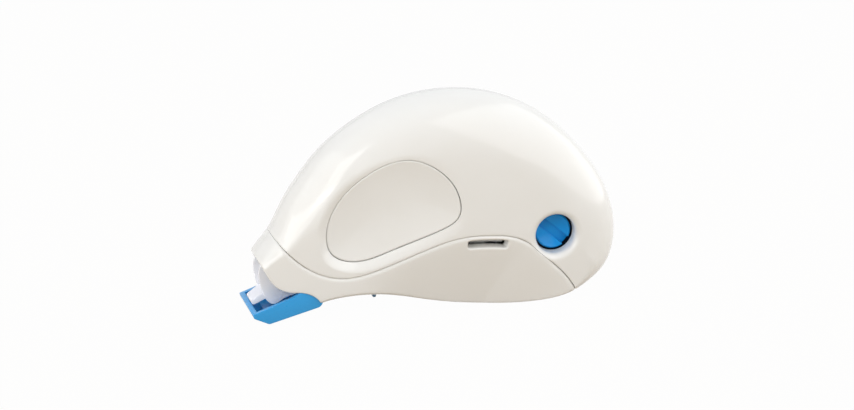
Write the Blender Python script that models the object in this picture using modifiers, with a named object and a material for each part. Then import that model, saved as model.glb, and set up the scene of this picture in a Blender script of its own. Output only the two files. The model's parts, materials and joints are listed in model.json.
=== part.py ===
"""Correction tape roller: two-part housing, flip cap, applicator tip and geared tape reels.

X runs along the length (tip at -X), Y across the thickness (near side at -Y), Z up.
It stands on the flat under its belly. All sizes below are millimetres.
"""

import math

import bmesh
import bpy
import numpy as np
from mathutils import Matrix, Vector

MM = 0.001

# Driving sizes
LENGTH = 76.5
HEIGHT = 45.0
WIDTH = 18.0
WALL = 1.3
GAP = 0.3
TAPE_WIDTH = 5.0
KNOB_RADIUS = 3.6
KNOB_RECESS = 3.4
CAP_WIDTH = 14.4

# Side-view points below are given at this length and height
DRAWN_LENGTH = 76.5
DRAWN_HEIGHT = 45.0
MIDDLE = 0.33


def side(x, z):
    """A point of the side view at the chosen overall size, with X = 0 halfway along the object."""
    return np.array(((x + MIDDLE) * LENGTH / DRAWN_LENGTH, z * HEIGHT / DRAWN_HEIGHT))


# Outline of the housing in side view: x, z and the depth of the rounded edge there.
# The nose runs on past the opening, which is cut away later.
OUTLINE = (
    (-38.4, 10.0, 3.2),
    (-36.6, 14.4, 3.6),
    (-34.4, 19.9, 5.0),
    (-31.9, 24.5, 7.0),
    (-26.9, 31.7, 9.5),
    (-19.3, 38.4, 12.0),
    (-10.0, 43.2, 13.0),
    (2.0, 45.0, 13.5),
    (12.0, 43.8, 13.5),
    (22.0, 39.2, 12.5),
    (30.5, 31.2, 11.0),
    (36.2, 21.6, 9.0),
    (37.9, 13.6, 7.0),
    (35.6, 6.4, 4.5),
    (29.5, 2.3, 3.2),
    (22.0, 0.3, 3.0),
    (12.5, -0.25, 3.0),
    (3.1, 0.9, 2.6),
    (-4.4, 2.6, 2.0),
    (-12.0, 4.2, 1.6),
    (-19.0, 4.3, 1.6),
    (-24.6, 3.0, 1.6),
    (-31.0, 0.8, 2.0),
    (-36.6, 3.5, 2.8),
)
PARTING = (
    (-41.5, 25.5),
    (-35.4, 19.0),
    (-31.9, 15.2),
    (-26.8, 11.0),
    (-20.4, 9.0),
    (-12.8, 10.4),
    (-3.2, 13.9),
    (5.5, 15.95),
    (13.5, 15.2),
    (18.0, 13.2),
    (20.9, 11.2),
    (25.0, 7.6),
    (28.5, 2.6),
    (30.4, -2.5),
)
SNOUT = (
    (-41.0, 15.0),
    (-37.2, 13.8),
    (-36.2, 11.7),
    (-35.0, 9.8),
    (-33.6, 8.2),
    (-31.9, 6.9),
    (-30.2, 6.1),
    (-28.5, 6.15),
    (-26.9, 5.7),
    (-25.6, 4.8),
    (-24.7, 3.3),
    (-24.3, 0.5),
)
GRIP = (
    (-6.8, 33.1),
    (-0.6, 30.5),
    (3.5, 24.9),
    (3.6, 20.5),
    (-0.6, 17.6),
    (-10.2, 14.1),
    (-18.6, 12.2),
    (-22.5, 14.0),
    (-23.6, 18.4),
    (-21.1, 25.1),
    (-15.0, 30.6),
)

# Levels across the thickness, all from the middle plane
HALF = WIDTH / 2
INNER = HALF - WALL
SEAM = GAP / 2
EDGE_POWER = 2.3
LEAST_EDGE = 1.2
WELD_REACH = 0.02
SPIN_MERGE = 0.001
OUTLINE_POINTS = 92
EDGE_STEPS = (0.0, 0.02, 0.08, 0.2, 0.38, 0.64, 1.0)
TAPE_HALF = TAPE_WIDTH / 2
GEAR_NEAR = TAPE_HALF + 0.5
GEAR_FAR = GEAR_NEAR + 1.4
PLATE_NEAR = GEAR_FAR + 0.4
PLATE_FAR = PLATE_NEAR + 0.9
FLANGE_TOP = -TAPE_HALF - 0.9
SLEEVE_TOP = -TAPE_HALF - 0.4
CLUTCH_CAP_TOP = SLEEVE_TOP - 1.0
POST_TOP = CLUTCH_CAP_TOP - 0.1

# Grip dish: its floor leans in toward the nose
PAD_THICK = 0.6
PAD_DEPTH_TAIL = 0.8
PAD_DEPTH_NOSE = 1.8
PAD_FLOOR_WALL = 0.9
PAD_EDGE = 0.15
PAD_PROUD = 0.1
BACK_SPREAD = 0.55
DISH_LAP = 0.4
CUT_OVER = 0.05
DISH_SLOPE = 2.2

# Reels and their gears
TEETH_SUPPLY = 36
TEETH_TAKE_UP = 18
SUPPLY_PITCH = 0.35 * HEIGHT
MODULE = 2 * SUPPLY_PITCH / TEETH_SUPPLY
TAKE_UP_PITCH = MODULE * TEETH_TAKE_UP / 2
REEL_LINE = math.radians(157.7)
TAKE_UP = side(24.1, 14.9)
SUPPLY = TAKE_UP + (SUPPLY_PITCH + TAKE_UP_PITCH) * np.array((math.cos(REEL_LINE), math.sin(REEL_LINE)))
SUPPLY_TAPE = 0.84 * SUPPLY_PITCH
SUPPLY_FLANGE = 0.875 * SUPPLY_PITCH
DRUM = 0.57 * SUPPLY_PITCH
TAKE_UP_TAPE = 0.915 * TAKE_UP_PITCH
TAKE_UP_FLANGE = 1.0 * TAKE_UP_PITCH
TAKE_UP_HUB = 0.64 * TAKE_UP_PITCH
POST = 2.2
SLEEVE = 4.0
TAKE_UP_POST = 1.6
KNOB_FACE = -(HALF - KNOB_RECESS)
WELL_RADIUS = KNOB_RADIUS + 0.4
WELL_WALL = 1.2

# Cap and its hinge, and the bay it folds into
HINGE = side(-25.8, 4.2)
HINGE_BARREL = 1.5
HINGE_BORE = 0.85
HINGE_PIN = 0.6
HINGE_WEB = ((-0.9, 0.6), (1.2, -0.2), (2.4, 2.2), (-0.9, 2.2))
CAP_LIP = side(-38.25, 2.3)
CAP_CHIN = side(-38.0, 1.6)
CAP_HEEL = side(-34.9, 0.0)
CAP_HALF = CAP_WIDTH / 2
CAP_WALL = 1.0
CAP_FLOOR = 0.9
BAY_HALF = CAP_HALF + GAP
BAY_WALL = 1.1
BAY_CEILING = side(0, 5.9)[1]
BAY_TOP = BAY_CEILING + BAY_WALL
BAY_FRONT = side(-25.2, 0)[0]
BAY_REAR = side(-13.9, 0)[0]
BLOCK_REAR = side(-10.6, 0)[0]
BARREL_HALF = CAP_HALF - CAP_WALL - GAP
PIN_BITE = 1.6

# Tape path: circles that the free length touches, each on the other side than the last
STRIP_THICK = 0.2
STRIP_CLEAR = GAP + STRIP_THICK / 2
STRIP_ROOM = STRIP_CLEAR + STRIP_THICK / 2
FEED = side(-28.4, 13.0)
FEED_RADIUS = 1.5
TIP_RADIUS = 0.3
TIP_CLEAR = 0.15
TIP = np.array((side(-37.75, 0)[0], CAP_CHIN[1] + CAP_FLOOR + TIP_CLEAR + TIP_RADIUS + STRIP_ROOM))
GUIDE = side(-28.4, 6.2)
GUIDE_RADIUS = 0.9

# The return roller hangs between the bay's roof and the supply reel
RETURN_RADIUS = 1.9
RETURN_CLEAR = 1.75
ROOF_CLEAR = 0.2
SHAFT_STOUT = 1.6
SHAFT = 0.8
return_height = BAY_TOP + ROOF_CLEAR + STRIP_ROOM + RETURN_RADIUS
return_drop = SUPPLY[1] - return_height
return_run = math.sqrt((SUPPLY_FLANGE + RETURN_CLEAR) ** 2 - return_drop ** 2)
RETURN = np.array((SUPPLY[0] + return_run, return_height))

for old in list(bpy.data.objects):
    bpy.data.objects.remove(old)

parts = bpy.data.collections.new("correction_tape")
helpers = bpy.data.collections.new("helpers")
bpy.context.scene.collection.children.link(parts)
bpy.context.scene.collection.children.link(helpers)


def colour(red, green, blue):
    """Linear colour from 0-255 screen values."""
    return tuple((value / 255) ** 2.2 for value in (red, green, blue)) + (1.0,)


def material(name, shade, roughness, metallic=0.0):
    made = bpy.data.materials.new(name)
    made.use_nodes = True
    shader = made.node_tree.nodes["Principled BSDF"]
    shader.inputs["Base Color"].default_value = shade
    shader.inputs["Roughness"].default_value = roughness
    shader.inputs["Metallic"].default_value = metallic
    return made


CREAM = colour(228, 223, 212)
BLUE = colour(38, 145, 210)
FINISHES = {
    "hood_left": material("hood_left_plastic", CREAM, 0.25),
    "hood_right": material("hood_right_plastic", CREAM, 0.25),
    "base_left": material("base_left_plastic", CREAM, 0.28),
    "base_right": material("base_right_plastic", CREAM, 0.28),
    "grip_pad_left": material("grip_left_satin", colour(226, 224, 218), 0.5),
    "grip_pad_right": material("grip_right_satin", colour(226, 224, 218), 0.5),
    "chassis": material("chassis_plastic", colour(190, 190, 186), 0.45),
    "applicator_tip": material("tip_clear_plastic", colour(206, 210, 224), 0.2),
    "tape_run": material("tape_run_film", colour(238, 240, 246), 0.4),
    "tip_cap": material("cap_plastic", BLUE, 0.25),
    "cap_catch": material("catch_plastic", BLUE, 0.3),
    "supply_gear": material("supply_gear_acetal", colour(236, 236, 232), 0.4),
    "supply_core": material("supply_core_plastic", colour(225, 225, 220), 0.4),
    "friction_ring": material("friction_rubber", colour(45, 45, 47), 0.7),
    "clutch_spring": material("clutch_spring_steel", colour(170, 172, 176), 0.3, 1.0),
    "clutch_cap": material("clutch_cap_plastic", colour(215, 216, 214), 0.4),
    "supply_retainer": material("retainer_plastic", colour(205, 205, 200), 0.4),
    "supply_tape": material("supply_tape_film", colour(244, 244, 242), 0.5),
    "take_up_spool": material("take_up_spool_plastic", colour(225, 225, 220), 0.4),
    "take_up_gear": material("take_up_gear_acetal", colour(236, 236, 232), 0.4),
    "take_up_tape": material("take_up_tape_film", colour(220, 224, 226), 0.4),
    "tension_knob": material("knob_plastic", BLUE, 0.3),
    "feed_roller": material("feed_roller_acetal", colour(235, 235, 232), 0.4),
    "return_roller": material("return_roller_acetal", colour(235, 235, 232), 0.4),
}


def enter(made):
    """Takes a new object in, as a part with its finish or else as a hidden helper."""
    if made.name in FINISHES:
        made.data.materials.append(FINISHES[made.name])
        parts.objects.link(made)
    else:
        made.hide_render = True
        made.display_type = 'WIRE'
        helpers.objects.link(made)
    return made


def on_axis(axis):
    """The world point of a joint axis in side view, or the origin of the frame."""
    return Vector((0, 0, 0)) if axis is None else Vector((axis[0], 0, axis[1]))


def settle(name, shape, axis=None):
    """An object from a shape drawn in millimetres, with its origin on the axis if there is one."""
    origin = on_axis(axis)
    bmesh.ops.recalc_face_normals(shape, faces=shape.faces)
    bmesh.ops.translate(shape, verts=shape.verts, vec=-origin)
    bmesh.ops.scale(shape, verts=shape.verts, vec=(MM, MM, MM))
    mesh = bpy.data.meshes.new(name)
    shape.to_mesh(mesh)
    shape.free()
    made = bpy.data.objects.new(name, mesh)
    made.location = origin * MM
    return enter(made)


def loft(name, rings, axis=None):
    """A solid through rings of equal point count, with flat ends."""
    shape = bmesh.new()
    drawn = [[shape.verts.new(point) for point in ring] for ring in rings]
    for ring, following in zip(drawn, drawn[1:]):
        for i in range(len(ring)):
            shape.faces.new((ring[i - 1], ring[i], following[i], following[i - 1]))
    shape.faces.new(drawn[0])
    shape.faces.new(drawn[-1])
    return settle(name, shape, axis)


def prism(name, outline, y_from, y_to, axis=None):
    """A side-view outline, extruded through the thickness."""
    shape = bmesh.new()
    face = shape.faces.new([shape.verts.new((x, y_from, z)) for x, z in outline])
    pushed = bmesh.ops.extrude_face_region(shape, geom=[face])["geom"]
    far = [item for item in pushed if isinstance(item, bmesh.types.BMVert)]
    bmesh.ops.translate(shape, verts=far, vec=(0, y_to - y_from, 0))
    return settle(name, shape, axis)


def rod(name, centre, radius, y_from, y_to, count=24, axis=None):
    """A round bar along Y through a side-view point."""
    shape = bmesh.new()
    middle = Matrix.Translation((centre[0], (y_from + y_to) / 2, centre[1]))
    along_y = Matrix.Rotation(math.pi / 2, 4, 'X')
    bmesh.ops.create_cone(
        shape,
        cap_ends=True,
        segments=count,
        radius1=radius,
        radius2=radius,
        depth=abs(y_to - y_from),
        matrix=middle @ along_y,
    )
    return settle(name, shape, axis)


def box(name, x_from, x_to, y_from, y_to, z_from, z_to):
    shape = bmesh.new()
    middle = Matrix.Translation(((x_from + x_to) / 2, (y_from + y_to) / 2, (z_from + z_to) / 2))
    size = Matrix.Diagonal((x_to - x_from, y_to - y_from, z_to - z_from, 1))
    bmesh.ops.create_cube(shape, size=1, matrix=middle @ size)
    return settle(name, shape)


def turned(name, centre, profile, hollow, count=32):
    """A turned piece about the Y line through a side-view point: profile of (radius, y)."""
    line = list(profile)
    if not hollow:
        line = [(0, line[0][1]), *line, (0, line[-1][1])]
    around = sum(a[0] * b[1] - b[0] * a[1] for a, b in zip(line, line[1:] + line[:1]))
    if around > 0:
        line.reverse()
    edges = [(i, i + 1) for i in range(len(line) - 1)]
    if hollow:
        edges.append((len(line) - 1, 0))
    mesh = bpy.data.meshes.new(name)
    mesh.from_pydata([(radius * MM, y * MM, 0) for radius, y in line], edges, [])
    made = bpy.data.objects.new(name, mesh)
    made.location = on_axis(centre) * MM
    spun = made.modifiers.new("spin", 'SCREW')
    spun.axis = 'Y'
    spun.steps = count
    spun.render_steps = count
    spun.use_merge_vertices = not hollow
    spun.merge_threshold = SPIN_MERGE * MM
    return enter(made)


def tube(name, centre, inner, outer, y_from, y_to, count=32):
    profile = ((inner, y_from), (outer, y_from), (outer, y_to), (inner, y_to))
    return turned(name, centre, profile, True, count)


def combine(target, operation, *others):
    for other in others:
        step = target.modifiers.new(operation.lower() + "_" + other.name, 'BOOLEAN')
        step.operation = operation
        step.solver = 'EXACT'
        step.object = other
    return target


def weld(target):
    """Merges points that two cuts left almost on top of each other."""
    step = target.modifiers.new("weld", 'WELD')
    step.merge_threshold = WELD_REACH * MM


def cut(target, *others):
    return combine(target, 'DIFFERENCE', *others)


def add(target, *others):
    return combine(target, 'UNION', *others)


def smooth_line(knots, count, closed):
    """Evenly spaced points of the cubic spline through the knots."""
    points = np.array(knots, float)
    if closed:
        points = np.vstack((points, points[:1]))
    last = len(points) - 1
    span = np.linalg.norm(np.diff(points[:, :2], axis=0), axis=1)
    slope = np.diff(points, axis=0) / span[:, None]
    system = np.zeros((last + 1, last + 1))
    right = np.zeros_like(points)
    for i in range(1, last):
        system[i, i - 1:i + 2] = span[i - 1], 2 * (span[i - 1] + span[i]), span[i]
        right[i] = 6 * (slope[i] - slope[i - 1])
    system[0, 0] = 1
    if closed:
        system[0, last] = -1
        system[last, 0] += 2 * (span[0] + span[-1])
        system[last, 1] += span[0]
        system[last, last - 1] += span[-1]
        right[last] = 6 * (slope[0] - slope[-1])
    else:
        system[last, last] = 1
    bend = np.linalg.solve(system, right)
    dense = []
    for i in range(last):
        for t in np.linspace(0, 1, 40, endpoint=False):
            a, b = 1 - t, t
            curve = ((a**3 - a) * bend[i] + (b**3 - b) * bend[i + 1]) * span[i] ** 2 / 6
            dense.append(a * points[i] + b * points[i + 1] + curve)
    dense.append(points[last])
    dense = np.array(dense)
    along = np.concatenate(((0,), np.cumsum(np.linalg.norm(np.diff(dense[:, :2], axis=0), axis=1))))
    wanted = np.linspace(0, along[-1], count, endpoint=not closed)
    return np.stack([np.interp(wanted, along, column) for column in dense.T], axis=1)


def sideways(line, closed):
    """Unit normals on the right-hand side of a line."""
    if closed:
        step = np.roll(line, -1, axis=0) - np.roll(line, 1, axis=0)
    else:
        step = np.gradient(line, axis=0)
    step /= np.linalg.norm(step, axis=1)[:, None]
    return np.stack((step[:, 1], -step[:, 0]), axis=1)


# Housing halves

knots = [(*side(x, z), depth) for x, z, depth in OUTLINE]
outline = smooth_line(knots, OUTLINE_POINTS, True)
inward = sideways(outline[:, :2], True)
depth = outline[:, 2:]


def housing_rings(sign, wall):
    """Rings from the middle plane to the flat side: the outer skin, or the room inside the wall."""
    reach = np.maximum(depth - wall, LEAST_EDGE) if wall else depth
    rings = []
    for step in EDGE_STEPS:
        level = (HALF - wall) * (1 - (1 - step) ** EDGE_POWER) ** (1 / EDGE_POWER)
        moved = outline[:, :2] + inward * (wall + reach * step)
        rings.append([(x, sign * level, z) for x, z in moved])
    return rings


def flat_ring(ring, y):
    return [(x, y, z) for x, _, z in ring]


def housing_half(name, sign):
    rings = housing_rings(sign, 0.0)
    rings[0] = flat_ring(rings[0], sign * SEAM)
    return loft(name, rings)


parting = smooth_line([side(x, z) for x, z in PARTING], 44, False)
parting_normal = sideways(parting, False)
FAR_OUT = 2 * LENGTH


def below_parting(name, shift):
    """Everything under the parting line, moved up by the shift."""
    line = parting - parting_normal * shift
    corners = [(FAR_OUT, line[-1][1]), (FAR_OUT, -HEIGHT), (-FAR_OUT, -HEIGHT), (-FAR_OUT, line[0][1])]
    return prism(name, [*line, *corners], -WIDTH, WIDTH)


under_hood = below_parting("under_hood", GAP / 2)
base_room = below_parting("base_room", -GAP / 2)
snout = smooth_line([side(x, z) for x, z in SNOUT], 26, False)
snout_loop = [*snout, (snout[-1][0], -HEIGHT), (-LENGTH, -HEIGHT), (-LENGTH, snout[0][1])]
snout_cut = prism("snout_cut", snout_loop, -WIDTH, WIDTH)
floor_cut = box("floor_cut", -LENGTH, LENGTH, -WIDTH, WIDTH, -HEIGHT, 0)
bay_cut = box("bay_cut", -LENGTH, BAY_REAR, -BAY_HALF, BAY_HALF, -HEIGHT, BAY_CEILING)
bay_block = box("bay_block", BAY_FRONT, BLOCK_REAR, -WIDTH, WIDTH, -HEIGHT, BAY_TOP)

# Grip dish and pad, seen from the side

grip = smooth_line([side(x, z) for x, z in GRIP], 36, True)
grip_out = -sideways(grip, True)
GRIP_TAIL = grip[:, 0].max()
GRIP_LENGTH = GRIP_TAIL - grip[:, 0].min()


def pad_level(x):
    """Height of the pad's face over the middle plane."""
    share = (GRIP_TAIL - x) / GRIP_LENGTH
    return HALF - PAD_DEPTH_TAIL - (PAD_DEPTH_NOSE - PAD_DEPTH_TAIL) * share


def grip_ring(sign, spread, drop):
    """The grip outline, spread outward, lying under the pad's face by the drop."""
    moved = grip + grip_out * spread
    return [(x, sign * (pad_level(x) - drop), z) for x, z in moved]


def level_ring(sign, spread, y):
    return [(x, sign * y, z) for x, z in grip + grip_out * spread]


def dish_cut(name, sign):
    seat = PAD_THICK + GAP
    rings = [
        grip_ring(sign, GAP, seat),
        grip_ring(sign, GAP, PAD_PROUD),
        level_ring(sign, DISH_SLOPE, HALF + CUT_OVER),
        level_ring(sign, DISH_SLOPE, WIDTH),
    ]
    return loft(name, rings)


def dish_back(name, sign, clear):
    """The dish with its wall, and some clear space around that."""
    back = PAD_THICK + GAP + PAD_FLOOR_WALL
    rings = [
        grip_ring(sign, GAP + BACK_SPREAD + clear, back + clear),
        level_ring(sign, DISH_SLOPE + 2 * BACK_SPREAD + clear, HALF - DISH_LAP - clear),
        level_ring(sign, DISH_SLOPE + 2 * BACK_SPREAD + clear, WIDTH),
    ]
    return loft(name, rings)


def hollow(name, sign):
    """The room inside one half, less the back of the dish and the block over the cap's bay."""
    rings = housing_rings(sign, WALL)
    rings.insert(0, flat_ring(rings[0], -sign * 1.0))
    return cut(loft(name, rings), dish_back(name + "_dish", sign, 0.0), bay_block)


# Latch: a tongue of the hood behind the base's wall, its hook in the window
WINDOW = side(9.7, 14.15)
WINDOW_LENGTH = 8.0
WINDOW_HEIGHT = 1.65
TONGUE_FACE = INNER - GAP
TONGUE_BACK = TONGUE_FACE - 1.0
HOOK_DEPTH = HALF - 0.7
TONGUE_LENGTH = WINDOW_LENGTH - 1.6
TONGUE_HEIGHT = 4.2
TONGUE_RISE = 0.9
ROOT_HEIGHT = 2.0


def arched(shift, length, height):
    """A strip along the parting line, centred under the window's middle."""
    near = smooth_line([(x, z) for x, z in parting if abs(x - WINDOW[0]) < length], 60, False)
    wide = near[np.abs(near[:, 0] - WINDOW[0]) < length / 2]
    line = wide[:: max(1, len(wide) // 8)]
    middle = line[np.argmin(np.abs(line[:, 0] - WINDOW[0]))][1]
    drop = WINDOW[1] - middle + shift
    top = [(x, z + drop + height / 2) for x, z in line]
    bottom = [(x, z + drop - height / 2) for x, z in line]
    return [*top, *reversed(bottom)]


def across(sign, low, high):
    """The two levels of one side, in rising order."""
    return sorted((sign * low, sign * high))


def latch_tongue(name, sign):
    root = arched(TONGUE_RISE + ROOT_HEIGHT, TONGUE_LENGTH, ROOT_HEIGHT)
    leaf = arched(TONGUE_RISE, TONGUE_LENGTH, TONGUE_HEIGHT)
    hook = arched(0.0, WINDOW_LENGTH - 2 * GAP, WINDOW_HEIGHT - 2 * GAP)
    tongue = prism(name, leaf, *across(sign, TONGUE_BACK, TONGUE_FACE))
    return add(
        tongue,
        prism(name + "_root", root, *across(sign, TONGUE_BACK, INNER + GAP)),
        prism(name + "_hook", hook, *across(sign, TONGUE_BACK + GAP, HOOK_DEPTH)),
    )


# Pins and sockets that line up the two halves: in the hood, then in the base
HOOD_PINS = (side(-17.3, 35.9), side(29.9, 26.6))
BASE_PINS = (side(-3.5, 5.1), side(18.0, 2.9))
BOSS = 1.8
BOSS_DEPTH = 3.6
SOCKET = 1.05
ALIGN_PIN = 0.75
PIN_REACH = 2.2


def stepped_pin(name, place, stout, thin, y_foot, y_step, y_end):
    """A stout post with a thinner pin on its end."""
    profile = ((stout, y_foot), (stout, y_step), (thin, y_step), (thin, y_end))
    return turned(name, place, profile, False, 20)


def socket_side(target, places):
    for index, place in enumerate(places):
        label = f"{target.name}_socket_{index}"
        add(target, rod(label + "_boss", place, BOSS, -BOSS_DEPTH, -SEAM, 20))
        cut(target, rod(label, place, SOCKET, -PIN_REACH - GAP, WIDTH, 16))


def pin_side(target, places):
    for index, place in enumerate(places):
        label = f"{target.name}_pin_{index}"
        add(target, stepped_pin(label, place, BOSS, ALIGN_PIN, BOSS_DEPTH, SEAM, -PIN_REACH))


# Sunk well around the knob: the tube's foot sinks into the wall, and one hole clears both
WELL_SINK = 0.4
WELL_SKIRT = 0.6
well_walls = (WELL_RADIUS - GAP, WELL_RADIUS + WELL_WALL)
well_ends = (-HALF + WELL_SINK, KNOB_FACE + WELL_SKIRT)
well_tube = tube("well_tube", TAKE_UP, *well_walls, *well_ends, 40)
cut(well_tube, below_parting("under_tube", GAP))
shaft_relief = rod("shaft_relief", RETURN, SHAFT_STOUT + GAP, -WIDTH, 0, 20)
well_hole = rod("well_hole", TAKE_UP, WELL_RADIUS, -WIDTH, KNOB_FACE + 2 * WELL_SKIRT, 40)

# Posts inside the base: pegs of the applicator tip, shaft of the return roller, feet of the frame
TIP_PEG = side(-31.4, 9.6)
PEG_STOUT = 1.5
PEG_THIN = 0.7
STAND_STOUT = 2.2
STAND_THIN = 1.0
POST_FOOT = INNER + GAP
TIP_FLANGE_IN = TAPE_HALF + 0.4
TIP_FLANGE_OUT = TIP_FLANGE_IN + 0.6
STANDOFFS = (side(-5.5, 9.5), side(15.0, 8.6))
STAND_PROUD = 0.1

rooms = {}
for side_name, sign in (("left", -1), ("right", 1)):
    rooms[side_name] = hollow("room_" + side_name, sign)

    hood = housing_half("hood_" + side_name, sign)
    cut(hood, rooms[side_name], under_hood)
    weld(hood)
    cut(hood, dish_cut("dish_" + side_name, sign))
    add(hood, latch_tongue("tongue_" + side_name, sign))
    if sign < 0:
        add(hood, well_tube)
        cut(hood, well_hole, shaft_relief)
        socket_side(hood, HOOD_PINS)
    else:
        pin_side(hood, HOOD_PINS)
    weld(hood)

    base = housing_half("base_" + side_name, sign)
    combine(base, 'INTERSECT', base_room)
    weld(base)
    window_strip = arched(0.0, WINDOW_LENGTH, WINDOW_HEIGHT)
    window = prism("window_" + side_name, window_strip, *across(sign, TONGUE_BACK, WIDTH))
    cut(base, rooms[side_name], snout_cut)
    weld(base)
    cut(base, floor_cut, bay_cut, window)
    weld(base)
    ends = across(sign, SEAM, BARREL_HALF)
    web_corners = [HINGE + step for step in HINGE_WEB]
    barrel = add(
        rod("barrel_" + side_name, HINGE, HINGE_BARREL, *ends),
        prism("barrel_web_" + side_name, web_corners, *ends),
    )
    bore_ends = across(sign, BARREL_HALF - PIN_BITE - GAP, WIDTH)
    bore = rod("barrel_bore_" + side_name, HINGE, HINGE_BORE, *bore_ends, 16)
    add(base, cut(barrel, bore))
    peg_levels = [sign * y for y in (POST_FOOT, TIP_FLANGE_OUT + GAP, TIP_FLANGE_IN)]
    add(base, stepped_pin("tip_peg_" + side_name, TIP_PEG, PEG_STOUT, PEG_THIN, *peg_levels))
    if sign < 0:
        socket_side(base, BASE_PINS)
        shaft_levels = (-POST_FOOT, FLANGE_TOP - GAP, TAPE_HALF)
        add(base, stepped_pin("return_shaft", RETURN, SHAFT_STOUT, SHAFT, *shaft_levels))
    else:
        pin_side(base, BASE_PINS)
        for index, place in enumerate(STANDOFFS):
            levels = (POST_FOOT, PLATE_FAR + GAP, PLATE_NEAR - STAND_PROUD)
            add(base, stepped_pin(f"standoff_{index}", place, STAND_STOUT, STAND_THIN, *levels))

    pad_rings = [
        grip_ring(sign, 0.0, PAD_THICK),
        grip_ring(sign, 0.0, PAD_EDGE),
        grip_ring(sign, -PAD_EDGE, 0.0),
    ]
    loft("grip_pad_" + side_name, pad_rings)

# Inner frame with the two posts


HULL_STEPS = 28


def hull(circles):
    """Convex outline around circles of (centre, radius)."""
    points = []
    for centre, radius in circles:
        for t in np.arange(HULL_STEPS) * 2 * math.pi / HULL_STEPS:
            points.append((centre[0] + radius * math.cos(t), centre[1] + radius * math.sin(t)))
    points.sort()
    chains = []
    for run in (points, points[::-1]):
        chain = []
        for p in run:
            while len(chain) > 1:
                a, b = chain[-2:]
                if (b[0] - a[0]) * (p[1] - a[1]) - (b[1] - a[1]) * (p[0] - a[0]) > 1e-6:
                    break
                chain.pop()
            chain.append(p)
        chains.append(chain[:-1])
    return chains[0] + chains[1]


FRAME_HOLE = STAND_THIN + GAP
plate_circles = [(SUPPLY, 2 * POST), (TAKE_UP, 2 * TAKE_UP_POST)]
plate_circles += [(place, 2 * FRAME_HOLE) for place in STANDOFFS]
chassis = prism("chassis", hull(plate_circles), PLATE_NEAR, PLATE_FAR)
STUB = 1.2
RETAINER_TOP = POST_TOP - 1.2
supply_post = ((POST, PLATE_NEAR + 0.5), (POST, POST_TOP), (STUB, POST_TOP), (STUB, RETAINER_TOP))
add(chassis, turned("supply_post", SUPPLY, supply_post, False, 28))
add(chassis, rod("take_up_post", TAKE_UP, TAKE_UP_POST, -TAPE_HALF, PLATE_NEAR + 0.5, 24))
cut(chassis, dish_back("frame_relief", 1, GAP))
for index, place in enumerate(STANDOFFS):
    cut(chassis, rod(f"frame_hole_{index}", place, FRAME_HOLE, 0, WIDTH, 20))

# Gears


def gear_outline(centre, teeth, first):
    """Straight-flanked teeth: the first tooth points along the given direction."""
    pitch = MODULE * teeth / 2
    tip, root = pitch + 0.85 * MODULE, pitch - 1.1 * MODULE
    points = []
    for tooth in range(teeth):
        for radius, place in ((root, -0.33), (tip, -0.13), (tip, 0.13), (root, 0.33)):
            turn = first + (tooth + place) * 2 * math.pi / teeth
            points.append((centre[0] + radius * math.cos(turn), centre[1] + radius * math.sin(turn)))
    return points


supply_teeth = gear_outline(SUPPLY, TEETH_SUPPLY, REEL_LINE + math.pi)
supply_gear = prism("supply_gear", supply_teeth, GEAR_NEAR, GEAR_FAR, SUPPLY)
add(supply_gear, rod("gear_sleeve", SUPPLY, SLEEVE, SLEEVE_TOP, GEAR_NEAR + 0.5, 32))
cut(supply_gear, rod("gear_bore", SUPPLY, POST + GAP, -WIDTH, WIDTH, 28))

half_tooth = math.pi / TEETH_TAKE_UP
take_up_teeth = gear_outline(TAKE_UP, TEETH_TAKE_UP, REEL_LINE + half_tooth)
take_up_gear = prism("take_up_gear", take_up_teeth, GEAR_NEAR, GEAR_FAR, TAKE_UP)
KEY_HUB = 3.0
cut(take_up_gear, rod("take_up_gear_bore", TAKE_UP, KEY_HUB + GAP, -WIDTH, WIDTH, 28))

# Supply reel and its slip clutch

CORE_IN = SLEEVE + GAP
CORE_RING = CORE_IN + 1.1
DRUM_IN = DRUM - 1.0
CORE_FAR = GEAR_NEAR - 1.0
CORE_NEAR = -TAPE_HALF - 0.1
WEB_NEAR = CORE_FAR - 0.9
core_profile = (
    (CORE_IN, CORE_FAR),
    (DRUM, CORE_FAR),
    (DRUM, -TAPE_HALF - 0.3),
    (SUPPLY_FLANGE, -TAPE_HALF - 0.3),
    (SUPPLY_FLANGE, FLANGE_TOP),
    (DRUM_IN, FLANGE_TOP),
    (DRUM_IN, WEB_NEAR),
    (CORE_RING, WEB_NEAR),
    (CORE_RING, CORE_NEAR),
    (CORE_IN, CORE_NEAR),
)
turned("supply_core", SUPPLY, core_profile, True, 40)
tube("friction_ring", SUPPLY, CORE_RING, DRUM_IN, CORE_FAR + GAP, GEAR_NEAR - GAP, 40)
tube("supply_tape", SUPPLY, DRUM + GAP, SUPPLY_TAPE, -TAPE_HALF, TAPE_HALF, 56)
CLUTCH_CAP = DRUM_IN - 0.5
tube("clutch_cap", SUPPLY, POST + GAP, CLUTCH_CAP, CLUTCH_CAP_TOP, SLEEVE_TOP - GAP, 32)
tube("supply_retainer", SUPPLY, STUB + GAP, 3.6, RETAINER_TOP + 0.2, POST_TOP - GAP, 28)

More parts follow.
